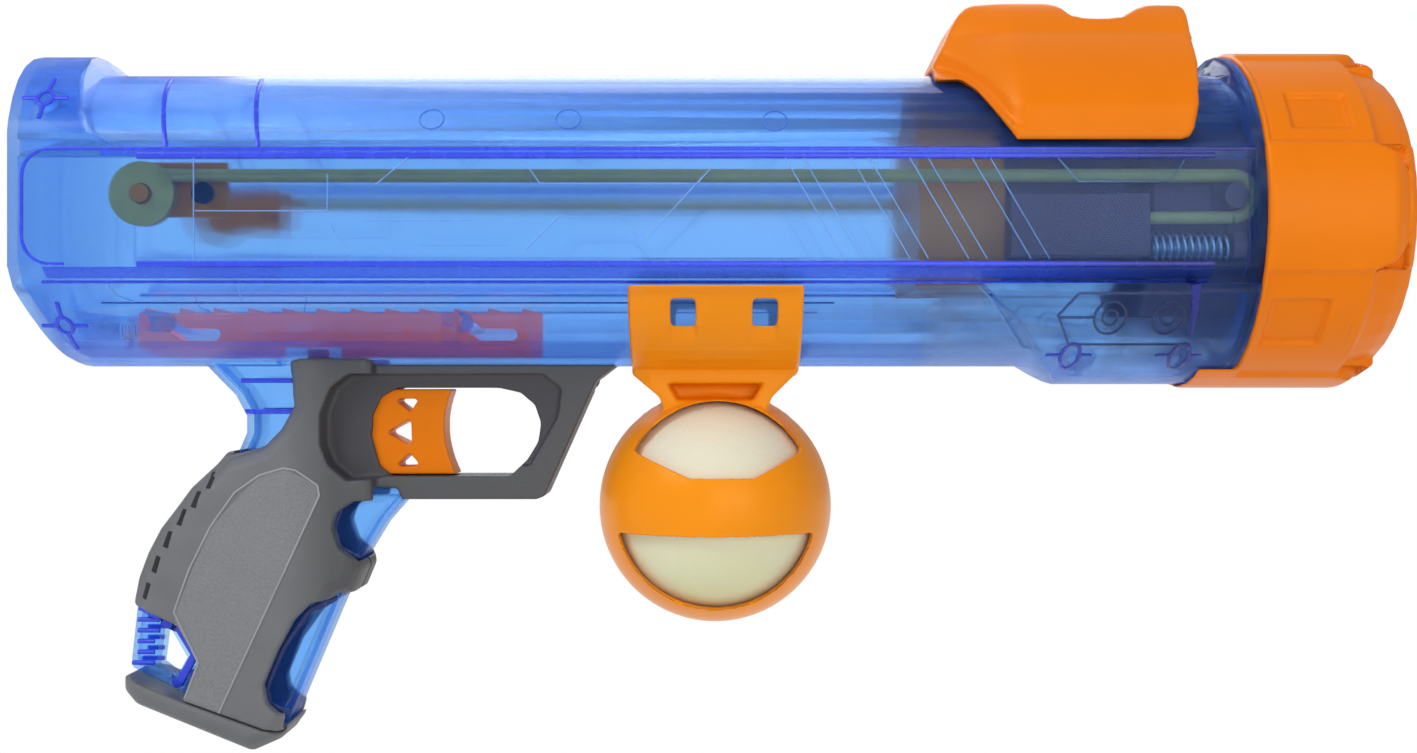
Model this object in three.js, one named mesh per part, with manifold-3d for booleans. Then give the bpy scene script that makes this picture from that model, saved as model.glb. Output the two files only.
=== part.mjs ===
// Dog tennis ball launcher: an elastic-band launcher with a translucent two-half casing and a pistol grip.
// Millimetres, +Z up, +X towards the muzzle. The near side of the photograph, the right-hand side, is -Y.
// The launcher's own frame starts at the rear wall on the barrel axis, and the whole is then moved so that the
// origin lies where the hand holds the grip.
import * as THREE from 'three';
import { mergeVertices } from 'three/addons/utils/BufferGeometryUtils.js';
import Module from 'manifold-3d';

const wasm = await Module();
wasm.setup();

// The ball and the barrel around it
const ballDiameter = 63.5;
const boreClearance = 1.25;
const sleeveBore = ballDiameter / 2 + boreClearance;
const bandRoom = 10.2;
const barrelRadius = sleeveBore + bandRoom;
const wall = 2.4;
const fit = 0.3;
const slideFit = 0.5;
const splitGap = 0.15;
const roundSides = 36;
const panelProud = 0.4;
const panelHalfWidth = barrelRadius + panelProud;
const panelTop = 16.6;
const panelBottom = -16;
const panelFoot = -20.7;
const rearSlopeStart = -12;
const humpProud = 5.4;
const humpRadius = barrelRadius + humpProud;
const humpTopLength = 15;
const rearBow = 205;
const flareProud = 5.3;
const flareRadius = barrelRadius + flareProud;
const flareStart = 271;
const flareEnd = 300;
const railHeight = 14.7;
const railThickness = 2.2;
const railDepth = 1.8;
const railStart = 39;

// Muzzle collar and sleeve
const collarRear = 347.3;
const hoodSetBack = 3.3;
const hoodStart = collarRear - hoodSetBack;
const noseLength = 26.7;
const barrelFront = collarRear + noseLength;
const collarProud = 6.4;
const collarRadius = barrelRadius + collarProud;
const collarWall = 3;
const collarBodyLength = 30;
const lugLength = 43.4;
const noseStep = 5;
const noseRadius = collarRadius - noseStep;
const mouthFlare = 5;
const mouthRadius = sleeveBore + mouthFlare;
const lugHalfAngle = 21.5;
const lugCount = 4;
const sleeveWall = 1.6;
const sleeveSetBack = 1.3;
const sleeveRear = collarRear - sleeveSetBack;
const sleeveLength = 39.4;
const sleeveFront = sleeveRear + sleeveLength;
const sleeveTongueLength = 26;
const sleeveFlangeWidth = 4;
const shieldWall = 1.2;
const shieldOuter = sleeveBore - 0.2;
const shieldInner = shieldOuter - shieldWall;

// Sled: orange carriage, grey ball cup, and the handle over the barrel
const sledTravel = 215;
const handleRear = 260.5;
const handleLength = 73.7;
const carriageRear = 255;
const carriageLength = 24;
const carriageRadius = sleeveBore - 0.2;
const carriageWeb = 7;
const spineWidth = 18;
const spineFront = handleRear + handleLength - 3.2;
const stemWidth = 8;
const stemRear = 275;
const slotWidth = 9;
const cupLength = 34;
const cupRadius = sleeveBore - 3;
const cupWall = 3;
const earFront = 317.5;
const earTop = 4.2;
const earBottom = -12.9;
const earOuter = panelHalfWidth - wall - 1.3;
const handleRise = 19.4;
const wingClearance = 2.4;
const handleWingBottom = panelTop + wingClearance;
const handleHalfWidth = barrelRadius - 3.7;

// Elastic bands and their fittings
const tubeRadius = 1.9;
const bandOffset = panelHalfWidth - 6.6;
const bandHeight = 9.4;
const hubX = 39.6;
const hubZ = 4.2;
const hubRadius = 2.6;
const bandDiscRadius = 9;
const hubFlangeRadius = 8;
const hubFlangeInner = bandOffset - 3.8;
const hubFlangeThickness = 1;
const clampScrewX = 57;
const clampScrewZ = 4.2;
const guideSetBack = 6.3;
const guideX = collarRear - guideSetBack;
const guideZ = 3.6;
const guideRadius = 3.4;
const guidePlateRise = 7.4;
const tubeSides = 8;

// Buffer springs
const springRear = 317.9;
const springSetBack = 7.2;
const springFront = collarRear - springSetBack;
const springTurns = 11;
const springRadius = 3.5;
const springWire = 0.8;
const springOffset = panelHalfWidth - 6.7;
const springHeight = -10.2;

// Ratchet bar
const barRear = 26.6;
const barLength = 119.3;
const barTop = 15.9 - barrelRadius;
const barBottom = 2.8 - barrelRadius;
const barHalfWidth = 4;
const toothPitch = 10.2;
const toothHeight = 1.5;
const sledRideHeight = 4.2;
const carriageFloor = barTop + toothHeight + sledRideHeight;
const toothEndMargin = 4;
const toothStart = 28.4;
const pinRadius = 1.5;
const pinBossRadius = 3;
const pinHeight = 13 - barrelRadius;
const pinInset = 8.3;
const frontPinInset = 22.6;
const pinPlaces = [barRear + pinInset, barRear + barLength - frontPinInset];
const slotDropX = 4.9;
const slotDropZ = 3.5;
const slotRun = 9.2;

// Trigger
const triggerHalfWidth = 5.6;
const triggerTravel = 8;
const triggerRear = 86;
const triggerTop = -barrelRadius - 6.8;
const triggerBottom = triggerTop - 25.1;
const armFront = 81.5;
const armWidth = 5;
const armTip = 5.2 - barrelRadius;
const armThickness = 3.6;

// Steps in a turn of a coil, and sides of its wire
const coilSteps = 8;
const coilSides = 5;

// Return springs of the trigger and the ratchet bar
const returnSpringRadius = 3;
const returnSpringWire = 0.7;
const returnSpringTurns = 6;
const ratchetSpringLength = 7;

// Grip
const coreHalfWidth = 11;
const gripHalfWidth = 15.5;
const guardHalfWidth = 8.6;
const loopHalfWidth = 12.5;
const coreWall = 2.6;

// Ball holder
const holderX = 198;
const holderDrop = 9.65;
const holderZ = -barrelRadius - ballDiameter / 2 - holderDrop;
const holderWall = 2.6;
const holderRim = 8;
const clipHalfLength = 24.4;
const clipTop = -21.2;
const clipWall = 2.6;
const windowMargin = 3.15;
const windowRadius = ballDiameter / 2 - windowMargin;

// Screws
const shankRadius = 1.4;
const headRadius = 3;
const headHeight = 2.2;
const postRadius = 4;
const screwReach = 9;
const frontScrewInset = 7.6;

// Where the hand holds the grip, which becomes the origin
const handX = 60;
const handZ = -barrelRadius - 57.8;

const paint = (color, roughness, metalness = 0, opacity = 1) =>
  new THREE.MeshStandardMaterial({ color, roughness, metalness, opacity, transparent: opacity < 1 });
const finish = {
  blue: () => paint(0x2f7fe6, 0.2, 0, 0.55),
  orange: () => paint(0xf5821f, 0.35),
  grey: () => paint(0x6b6d70, 0.6),
  dark: () => paint(0x2b2f38, 0.5),
  latex: () => paint(0xa9a86a, 0.6),
  steel: () => paint(0xb9bcc0, 0.3, 1),
  black: () => paint(0x1b1c1e, 0.45, 0.6),
  felt: () => paint(0xeeeebb, 0.95),
};

// A closed geometry as a solid, and a solid as a geometry again
function solid(geometry) {
  const bare = geometry.index ? geometry.clone() : geometry;
  bare.deleteAttribute('normal');
  bare.deleteAttribute('uv');
  const merged = mergeVertices(bare, 1e-4);
  return new wasm.Manifold(
    new wasm.Mesh({
      numProp: 3,
      vertProperties: new Float32Array(merged.attributes.position.array),
      triVerts: new Uint32Array(merged.index.array),
    }),
  );
}

function geometryOf(body) {
  const mesh = body.getMesh();
  const geometry = new THREE.BufferGeometry();
  geometry.setAttribute('position', new THREE.BufferAttribute(mesh.vertProperties, 3));
  geometry.setIndex(new THREE.BufferAttribute(mesh.triVerts, 1));
  geometry.computeVertexNormals();
  return geometry;
}

const join = (...bodies) => bodies.reduce((all, next) => all.add(next));
const cut = (body, ...tools) => tools.reduce((left, tool) => left.subtract(tool), body);

// A box between two corners
function block(x0, x1, y0, y1, z0, z1) {
  const box = new THREE.BoxGeometry(x1 - x0, y1 - y0, z1 - z0);
  box.translate((x0 + x1) / 2, (y0 + y1) / 2, (z0 + z1) / 2);
  return solid(box);
}

// A side outline, given as [x, z] points or a Shape, carried across from y0 to y1
function plate(outline, y0, y1) {
  const shape = Array.isArray(outline)
    ? new THREE.Shape(outline.map(([x, z]) => new THREE.Vector2(x, z)))
    : outline;
  const slab = new THREE.ExtrudeGeometry(shape, { depth: y1 - y0, bevelEnabled: false, curveSegments: 8 });
  slab.rotateX(Math.PI / 2);
  slab.translate(0, y1, 0);
  return solid(slab);
}

// A plan outline of [x, y] points carried upright from z0 to z1
function column(outline, z0, z1) {
  const shape = new THREE.Shape(outline.map(([x, y]) => new THREE.Vector2(x, y)));
  const made = new THREE.ExtrudeGeometry(shape, { depth: z1 - z0, bevelEnabled: false });
  made.translate(0, 0, z0);
  return solid(made);
}

// A side outline as a slab with eased edges: at each distance y from the middle its outline is drawn in
function pillow(outline, easing) {
  const layers = [
    ...easing.map(([y, inset]) => [-y, inset]),
    ...easing.map(([y, inset]) => [y, inset]).reverse(),
  ];
  const rings = layers.map(([y, inset]) => grown(outline, -inset).map(([x, z]) => [x, y, z]));
  const count = outline.length;
  const index = [];
  for (let ring = 0; ring < (rings.length - 1) * count; ring += count) {
    for (let k = 0; k < count; k += 1) {
      const a = ring + k;
      const b = ring + ((k + 1) % count);
      index.push(a, a + count, b, b, a + count, b + count);
    }
  }
  const last = (rings.length - 1) * count;
  [0, last].forEach((start) => {
    const flat = rings[start / count].map(([x, , z]) => new THREE.Vector2(x, z));
    THREE.ShapeUtils.triangulateShape(flat, []).forEach(([a, b, c]) =>
      index.push(...(start ? [start + c, start + b, start + a] : [a, b, c])));
  });
  const geometry = new THREE.BufferGeometry();
  geometry.setAttribute('position', new THREE.BufferAttribute(new Float32Array(rings.flat(2)), 3));
  geometry.setIndex(index);
  const made = solid(geometry);
  if (made.volume() > 0) return made;
  geometry.setIndex(index.reverse());
  return solid(geometry);
}

// A cross-section in (y, z) carried along the barrel from x0 to x1
function bar(section, x0, x1) {
  const run = new THREE.ExtrudeGeometry(section, { depth: x1 - x0, bevelEnabled: false, curveSegments: 8 });
  run.applyMatrix4(new THREE.Matrix4().set(0, 0, 1, x0, 1, 0, 0, 0, 0, 1, 0, 0, 0, 0, 0, 1));
  return solid(run);
}

// A round rod along X or along Y
function rodX(radius, x0, x1, y = 0, z = 0, sides = 32) {
  const rod = new THREE.CylinderGeometry(radius, radius, x1 - x0, sides);
  rod.rotateZ(-Math.PI / 2);
  rod.translate((x0 + x1) / 2, y, z);
  return solid(rod);
}

function rodY(radius, x, z, y0, y1, sides = 14) {
  const rod = new THREE.CylinderGeometry(radius, radius, y1 - y0, sides);
  rod.translate(x, (y0 + y1) / 2, z);
  return solid(rod);
}

// A profile of [x, radius] points turned about the barrel axis
function turned(profile, sides = roundSides) {
  const points = profile.map(([x, radius]) => new THREE.Vector2(radius, x));
  const body = new THREE.LatheGeometry(points, sides);
  body.rotateZ(-Math.PI / 2);
  const made = solid(body);
  if (made.volume() > 0) return made;
  body.index.array.reverse();
  return solid(body);
}

// The barrel's cross-section, grown or shrunk: round above and below, with a flat slab side between
function barrelSection(grow, radius = barrelRadius) {
  const r = radius + grow;
  const side = panelHalfWidth + grow;
  const top = panelTop + grow;
  const bottom = panelBottom - grow;
  const foot = panelFoot - grow;
  const shape = new THREE.Shape();
  const topAngle = Math.asin(top / r);
  const footAngle = Math.asin(foot / r);
  shape.moveTo(side, bottom);
  shape.lineTo(side, top);
  arcPoints(r, topAngle, Math.PI - topAngle, 18).forEach(([y, z]) => shape.lineTo(y, z));
  shape.lineTo(-side, top);
  shape.lineTo(-side, bottom);
  arcPoints(r, Math.PI - footAngle, 2 * Math.PI + footAngle, 18).forEach(([y, z]) => shape.lineTo(y, z));
  shape.closePath();
  return shape;
}

function arcPoints(radius, from, to, steps, x = 0, z = 0) {
  return Array.from({ length: steps + 1 }, (_, i) => {
    const angle = from + ((to - from) * i) / steps;
    return [x + radius * Math.cos(angle), z + radius * Math.sin(angle)];
  });
}

function roundSection(radius) {
  const ring = arcPoints(radius, 0, 2 * Math.PI, roundSides).slice(1);
  return new THREE.Shape(ring.map(([y, z]) => new THREE.Vector2(y, z)));
}

// The rear end's side outline, upright above and sloping forward below, moved in by a wall where asked
function rearProfile(inset) {
  const far = barrelFront + wall;
  return [
    [inset, 2 * barrelRadius],
    [inset, rearSlopeStart],
    [inset + 2, rearSlopeStart - 5.4],
    [inset + 6.8, rearSlopeStart - 19],
    [inset + 9.4, 3.5 - barrelRadius],
    [inset + 13, -barrelRadius - wall],
    [far, -barrelRadius - wall],
    [far, 2 * barrelRadius],
  ];
}

// The raised band over the rear end
function humpProfile(inset) {
  return [
    [inset, panelTop + inset],
    [inset, humpRadius + 1],
    [humpTopLength - inset, humpRadius + 1],
    [humpTopLength + 3.8 - inset, barrelRadius - inset],
    [humpTopLength + 7 - inset, 34],
    [humpTopLength + 9 - inset, 27],
    [humpTopLength + 12 - inset, 21],
    [humpTopLength + 19 - inset, panelTop + inset],
  ];
}

// The rear wall's bow, seen from above
function bowed(inset) {
  const half = 2 * barrelRadius;
  const curve = Array.from({ length: 17 }, (_, i) => {
    const y = half * (i / 8 - 1) * 0.6;
    return [inset + (y * y) / (2 * rearBow), y];
  });
  return column([...curve, [barrelFront + half, half * 0.6], [barrelFront + half, -half * 0.6]], -half, half);
}

// The wider front of the casing, below the side panels and just behind the collar
function flareProfile(inset) {
  return [
    [flareStart + inset, panelFoot - inset],
    [flareStart + 12 + inset, -32],
    [flareEnd - 8 + inset, -barrelRadius],
    [flareEnd + inset, -flareRadius - 1],
    [collarRear - fit, -flareRadius - 1],
    [collarRear - fit, panelFoot - inset],
  ];
}

const hoodProfile = [
  [hoodStart, panelTop],
  [collarRear - fit, panelTop],
  [collarRear - fit, flareRadius + 1],
  [hoodStart + 1, flareRadius + 1],
];

// The casing as one hollow body before it is split into halves
function barrelBody(inset) {
  const reach = barrelRadius * 2;
  const mainEnd = collarRear - fit - inset;
  const main = bar(barrelSection(-inset), 0, mainEnd).intersect(plate(rearProfile(inset), -reach, reach));
  const side = panelHalfWidth - inset;
  const hump = bar(roundSection(humpRadius - inset), 0, 2 * humpRadius).intersect(
    plate(humpProfile(inset), -side, side),
  );
  const wide = bar(roundSection(flareRadius - inset), flareStart, mainEnd).intersect(
    join(plate(flareProfile(inset), -reach, reach), ...(inset ? [] : [plate(hoodProfile, -reach, reach)])),
  );
  const noseEnd = barrelFront + (inset ? 1 : 0);
  const noseSkin = collarRadius - collarWall - fit - inset;
  const noseStart = collarRear - fit - wall + inset;
  const nose = bar(roundSection(noseSkin), noseStart, noseEnd);
  const throat = bar(roundSection(Math.min(noseSkin, barrelRadius - inset)), noseStart - 2 * wall, noseEnd);
  return join(join(main, hump).intersect(bowed(inset)), wide, nose, throat);
}

// Side outlines whose heights are held from the barrel's underside
const below = (outline) => outline.map(([x, z]) => [x, z - barrelRadius]);

// The grip's outlines, seen from the side
const coreOutline = below([
  [45, 3.2], [51.3, -3.4], [56.3, -8.4], [59.6, -14.6], [59.6, -19.6], [57.4, -24.8],
  [55, -30.8], [48, -36.8], [42, -44.8], [36.5, -53.8], [33, -62.8], [31.5, -72.4],
  [33.5, -92.8], [42.2, -96.4], [66, -104.8], [71.6, -105.4],
  [73.4, -100.7], [87.4, -67.7], [90, -64.4], [91.4, -59.2], [93.3, -56.7],
  [99.4, -46.7], [105.4, -39.8], [104, -36.2], [80, -36.2], [80, 3.2],
]);
const gripOutline = below([
  [70.4, 5.2], [73.1, -3.4], [73.7, -11.4], [70.4, -17.6], [65.4, -22.6], [58.2, -24.4], [54.3, -25.2],
  [51.4, -28.6], [43.8, -35.6], [39.7, -41.2], [35, -47.3], [31.2, -54.6], [28.5, -61.9], [27.1, -69.2],
  [41.4, -75.4], [47.3, -85.7], [43, -97.3], [66.3, -105.7], [71.4, -106.9],
  [72.3, -101.6], [70.6, -101.3], [67.4, -98.4], [66.3, -92.9], [70.4, -83], [75.3, -73.9],
  [80.3, -69], [87.6, -67.5], [92, -66.3], [94.9, -59.3], [94.6, -57.8], [93.5, -56.7],
  [88.5, -52.9], [86.5, -46.7], [87.8, -42.6], [92.6, -39.4], [98, -39.2], [98, 5.2],
]);
const guardOutline = below([
  [80, 5.2], [174, 5.2], [169.4, 0.8], [162.9, -4.3], [147.8, -38.2], [145.5, -39.2], [80, -39.2],
]);
const guardWindow = below([
  [104.1, -6.4], [99.4, -9.1], [96.9, -14.4], [96.5, -20.8], [98.8, -29.1], [102.6, -32.3],
  [137.5, -32.3], [142.4, -27.6], [145.6, -22.3], [146.4, -16.8], [144.6, -11.4], [140.4, -7.8], [134, -6.4],
]);
const guardRecess = below([
  [90.8, -33.3], [85.4, -28.8], [83, -22.8], [83, -13.8], [86, -6.3], [91, -2.3],
  [147, -2.1], [152.6, -6.4], [151.6, -14.8], [143.5, -29.3],
]);
// The grip's silhouette with the butt, before the windows and the loop are taken out
const gripSilhouette = below([
  [70.4, 13], [73.1, -3.4], [73.7, -11.4], [70.4, -17.6], [65.4, -22.6], [58.2, -24.4], [54.3, -25.2],
  [51.4, -28.6], [43.8, -35.6], [39.7, -41.2], [35, -47.3], [31.2, -54.6], [28.5, -61.9], [27.1, -69.2],
  [25.4, -80], [24.2, -90], [24.4, -95], [28, -99.4], [62, -113.2], [70.2, -109.6], [73.4, -105.2],
  [87.6, -67.5], [92, -66.3], [94.9, -59.3], [94.6, -57.8], [98, -50], [101, -39], [101, 13],
]);
const gripRound = [
  [gripHalfWidth, 5], [gripHalfWidth - 1.7, 2.2], [gripHalfWidth - 4.5, 0.6], [gripHalfWidth - 7.5, 0],
];
const coreRound = [[coreHalfWidth, 2.2], [coreHalfWidth - 1.6, 0.7], [coreHalfWidth - 4, 0]];
const buttOutline = below([
  [25, -90.2], [43, -97.7], [66.3, -106.1], [71, -107.4], [72.6, -104], [73.4, -105.2],
  [70.2, -109.6], [62, -113.2], [28, -99.4], [24.6, -94.8],
]);
const loopOutline = below([
  [26.4, -70.2], [31.6, -72.2], [41.2, -75.8], [47, -85.7], [42.6, -96.7], [34, -93.2], [25, -89.5], [24.6, -86.8],
]);
const loopHole = below([
  [33.4, -76.2], [37.8, -77.4], [42.6, -85.6], [39.4, -91.4], [35, -92], [32, -88.8],
]);

// Screw places: the casing's posts, then the grip's and the guard's
const frontScrewHeight = frontScrewInset - flareRadius;
const casingScrews = [[12.2, 30.4], [15.4, -31.5], [303.2, frontScrewHeight], [334, frontScrewHeight]];
const gripScrews = below([[68, -42.8], [55, -82.8]]);
const [guardScrew] = below([[160, -4]]);

function casingHalf(side) {
  const half = (depth) => (side < 0 ? [-depth, -splitGap] : [splitGap, depth]);
  const from = (near, far) => (side < 0 ? [-far, -near] : [near, far]);
  const inner = barrelBody(wall);
  let body = cut(barrelBody(0), inner);
  const spineCut = block(
    stemRear - sledTravel - 1, spineFront + 1, -slotWidth / 2, slotWidth / 2, barrelRadius - 10, 2 * barrelRadius,
  );
  const armCut = block(
    armFront - armWidth - triggerTravel - slideFit, armFront + slideFit, -triggerHalfWidth - fit,
    triggerHalfWidth + fit, -2 * barrelRadius, armTip + 1,
  );
  const rails = [-railHeight, railHeight].flatMap((z) =>
    [-1, 1].map((y) =>
      block(
        railStart, collarRear - 4, Math.min(y * (panelHalfWidth - wall - railDepth), y * (panelHalfWidth - 1)),
        Math.max(y * (panelHalfWidth - wall - railDepth), y * (panelHalfWidth - 1)),
        z - railThickness / 2, z + railThickness / 2,
      ),
    ),
  );
  const filled = barrelBody(0);
  const posts = casingScrews.map(([x, z]) => rodY(postRadius, x, z, -barrelRadius, barrelRadius).intersect(filled));
  const pins = pinPlaces.flatMap((x) => [
    rodY(pinRadius, x, pinHeight, -barHalfWidth - 1, barHalfWidth + 1, 16),
    rodY(pinBossRadius, x, pinHeight, barHalfWidth + fit, barrelRadius).intersect(filled),
    rodY(pinBossRadius, x, pinHeight, -barrelRadius, -barHalfWidth - fit).intersect(filled),
  ]);
  const core = cut(
    join(pillow(coreOutline, coreRound), plate(loopOutline, -loopHalfWidth, loopHalfWidth)),
    inner,
    plate(grown(coreOutline, -coreWall), coreWall - coreHalfWidth, coreHalfWidth - coreWall),
    plate(loopHole, -loopHalfWidth - 1, loopHalfWidth + 1),
    block(
      armFront - armWidth - triggerTravel - slideFit, 110, -triggerHalfWidth - fit, triggerHalfWidth + fit,
      triggerBottom - slideFit, armTip,
    ),
  );
  const gripPosts = gripScrews.map(([x, z]) => rodY(postRadius, x, z, 1 - coreHalfWidth, coreHalfWidth - 1));
  body = cut(join(body, core, ...rails, ...posts, ...gripPosts, ...pins), spineCut, armCut);
  const [y0, y1] = half(2 * barrelRadius);
  body = body.intersect(block(-5, barrelFront + 5, y0, y1, -5 * barrelRadius, 3 * barrelRadius));
  const screwHoles = [...casingScrews, ...gripScrews].map(([x, z]) =>
    side < 0
      ? rodY(shankRadius + fit, x, z, -screwReach - 1, 0)
      : rodY(shankRadius + fit, x, z, 0, 2 * barrelRadius),
  );
  const headSeats = side < 0 ? [] : casingScrews.map(([x, z]) =>
    rodY(headRadius + fit, x, z, screwSeat(z), 2 * barrelRadius));
  const bandBoss = rodY(hubRadius, hubX, hubZ, ...from(panelHalfWidth - wall - fit, panelHalfWidth - 1));
  return cut(join(body, bandBoss), ...screwHoles, ...headSeats);
}

// How deep a casing screw's head sits below the barrel's skin at a height
function screwSeat(z) {
  const skin = z === frontScrewHeight ? flareRadius : barrelRadius;
  return Math.sqrt(skin ** 2 - z ** 2) - headHeight - 4;
}

function screw(x, z, seat, reach) {
  const head = rodY(headRadius, x, z, seat + fit, seat + fit + headHeight, 14);
  const cross = join(
    block(x - 1.8, x + 1.8, seat + headHeight - 0.8, seat + headHeight + 1, z - 0.4, z + 0.4),
    block(x - 0.4, x + 0.4, seat + headHeight - 0.8, seat + headHeight + 1, z - 1.8, z + 1.8),
  );
  return cut(join(head, rodY(shankRadius, x, z, -reach, seat + 1, 8)), cross);
}

function gripCover(side) {
  const whole = join(
    plate(gripOutline, -gripHalfWidth, gripHalfWidth).intersect(pillow(gripSilhouette, gripRound)),
    plate(guardOutline, -guardHalfWidth, guardHalfWidth),
  );
  const coreRoom = grown(coreOutline, fit);
  const slot = block(
    armFront - armWidth - triggerTravel - slideFit, 132, -triggerHalfWidth - fit, triggerHalfWidth + fit,
    triggerBottom - slideFit, triggerTop + slideFit,
  );
  const armRoom = block(
    armFront - armWidth - triggerTravel - slideFit, 100, -triggerHalfWidth - fit, triggerHalfWidth + fit,
    triggerTop, 0,
  );
  const recess = side < 0
    ? plate(guardRecess, -gripHalfWidth - 1, -guardHalfWidth + 1.4)
    : plate(guardRecess, guardHalfWidth - 1.4, gripHalfWidth + 1);
  const reach = 2 * gripHalfWidth;
  const gripReach = 200;
  const holes = [...gripScrews, guardScrew].map(([x, z]) =>
    rodY(shankRadius + fit, x, z, ...(side < 0 ? [-guardHalfWidth + 2, 1] : [-1, reach])));
  const seats = side < 0 ? [] : [
    ...gripScrews.map(([x, z]) => rodY(headRadius + fit, x, z, gripHalfWidth - headHeight - 0.8, reach)),
    rodY(headRadius + fit, ...guardScrew, guardHalfWidth - headHeight - 0.8, reach),
  ];
  const body = cut(
    whole,
    plate(coreRoom, -coreHalfWidth - fit, coreHalfWidth + fit),
    plate(grown(loopOutline, fit), -loopHalfWidth - fit, loopHalfWidth + fit),
    bar(barrelSection(fit), 20, gripReach),
    plate(guardWindow, -reach, reach),
    slot, armRoom, recess, ...holes, ...seats,
  );
  const [near, far] = side < 0 ? [-reach, -splitGap] : [splitGap, reach];
  const kept = block(0, gripReach, near, far, -5 * barrelRadius, 0);
  return largest(body.intersect(kept));
}

// The outline moved outwards by a distance, for a fitting clearance
function grown(outline, distance) {
  const count = outline.length;
  const area = outline.reduce((sum, [x, z], i) => {
    const [u, w] = outline[(i + 1) % count];
    return sum + x * w - u * z;
  }, 0);
  const turn = area > 0 ? 1 : -1;
  return outline.map((point, i) => {
    const before = outline[(i + count - 1) % count];
    const after = outline[(i + 1) % count];
    const a = new THREE.Vector2(point[0] - before[0], point[1] - before[1]).normalize();
    const b = new THREE.Vector2(after[0] - point[0], after[1] - point[1]).normalize();
    const out = new THREE.Vector2(turn * (a.y + b.y), -turn * (a.x + b.x)).normalize();
    const miter = distance / Math.max(0.4, Math.sqrt((1 + a.dot(b)) / 2));
    return [point[0] + out.x * miter, point[1] + out.y * miter];
  });
}

// Keeps the main body where a cut leaves slivers
function largest(body) {
  return body.decompose().reduce((best, next) => (next.volume() > best.volume() ? next : best));
}

function buttCap() {
  const cap = plate(buttOutline, -gripHalfWidth, gripHalfWidth).intersect(pillow(gripSilhouette, gripRound));
  return cut(cap, plate(grown(gripOutline, fit), -gripHalfWidth - 1, gripHalfWidth + 1),
    plate(grown(loopOutline, fit), -loopHalfWidth - fit, loopHalfWidth + fit),
    plate(grown(coreOutline, fit), -coreHalfWidth - fit, coreHalfWidth + fit));
}

function muzzleCollar() {
  const bodyEnd = collarRear + collarBodyLength;
  const front = collarRear + lugLength + 0.8;
  const ring = turned([
    [collarRear, collarRadius - collarWall], [collarRear, collarRadius], [bodyEnd - 1, collarRadius],
    [bodyEnd + 1.5, noseRadius + 1.4], [front - 6, noseRadius], [front - 1.5, noseRadius - 2],
    [front, mouthRadius], [front - 4, mouthRadius - 1.6], [front - 5.6, mouthRadius - 1.6],
    [front - 5.6, noseRadius - collarWall], [barrelFront + 1, noseRadius - collarWall],
    [barrelFront + 1, collarRadius - collarWall], [collarRear, collarRadius - collarWall],
  ]);
  const lugBand = turned([
    [bodyEnd - 1.8, noseRadius - 1], [bodyEnd - 1.8, collarRadius], [front - 8, collarRadius - 0.6],
    [front - 2.6, noseRadius + 1], [front - 2.6, noseRadius - 2.6], [bodyEnd - 1.8, noseRadius - 1],
  ]);
  const lugs = Array.from({ length: lugCount }, (_, i) =>
    lugBand.intersect(sector(i * (360 / lugCount), lugHalfAngle)));
  const pocketBand = turned([
    [collarRear + 10, collarRadius - 1.3], [collarRear + 10.6, collarRadius + 1], [bodyEnd - 3, collarRadius + 1],
    [bodyEnd - 2, collarRadius - 1.3], [collarRear + 10, collarRadius - 1.3],
  ]);
  const pockets = Array.from({ length: lugCount }, (_, i) =>
    pocketBand.intersect(sector((i + 0.5) * (360 / lugCount), 13)));
  const tongue = bar(roundSection(collarRadius), collarRear - 11, collarRear + 1)
    .subtract(bar(roundSection(flareRadius + fit), collarRear - 12, collarRear + 2))
    .intersect(sector(-90, 26));
  return cut(join(ring, ...lugs, tongue), ...pockets);
}

// A wedge about the barrel axis, centred on an angle measured from -Y towards +Z
function sector(centre, halfAngle) {
  const reach = 90;
  const shape = new THREE.Shape();
  shape.moveTo(0, 0);
  [-halfAngle, 0, halfAngle].forEach((step) => {
    const angle = ((centre + step) * Math.PI) / 180;
    shape.lineTo(-reach * Math.cos(angle), reach * Math.sin(angle));
  });
  shape.closePath();
  return bar(shape, collarRear - 60, collarRear + 2 * collarRadius);
}

function muzzleSleeve() {
  const outer = sleeveBore + sleeveWall;
  const flange = collarRadius - collarWall - wall - 3 * fit;
  const tube = turned([
    [sleeveRear, sleeveBore], [sleeveRear, outer], [sleeveRear + 8, outer], [sleeveRear + 8, flange],
    [sleeveRear + 8 + sleeveFlangeWidth, flange], [sleeveRear + 8 + sleeveFlangeWidth, outer],
    [sleeveFront, outer], [sleeveFront, sleeveBore], [sleeveRear, sleeveBore],
  ]);
  const tongues = turned([
    [sleeveRear - sleeveTongueLength, sleeveBore], [sleeveRear - sleeveTongueLength, outer],
    [sleeveRear + 1, outer], [sleeveRear + 1, sleeveBore], [sleeveRear - sleeveTongueLength, sleeveBore],
  ]);
  const rear = sleeveRear - sleeveTongueLength;
  const guideRoom = block(
    guideX - 5, guideX + 5, -barrelRadius, barrelRadius, springHeight - springRadius - 1, guideZ + guidePlateRise + fit,
  );
  const springRoom = block(
    rear - 1, guideX, -barrelRadius, barrelRadius, springHeight - springRadius - 1, springHeight + springRadius + 1,
  );
  const shields = [-1, 1].map((y) => block(
    rear, sleeveRear + 2, Math.min(y * shieldInner, y * shieldOuter), Math.max(y * shieldInner, y * shieldOuter),
    springHeight - springRadius - 0.8, guideZ + guidePlateRise + 1,
  ));
  const keyway = block(
    sleeveRear - 30, sleeveRear, -spineWidth / 2 - 1, spineWidth / 2 + 1, sleeveBore / 2, 2 * barrelRadius,
  );
  return cut(join(tube, cut(tongues, guideRoom, springRoom), ...shields), keyway);
}

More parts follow.
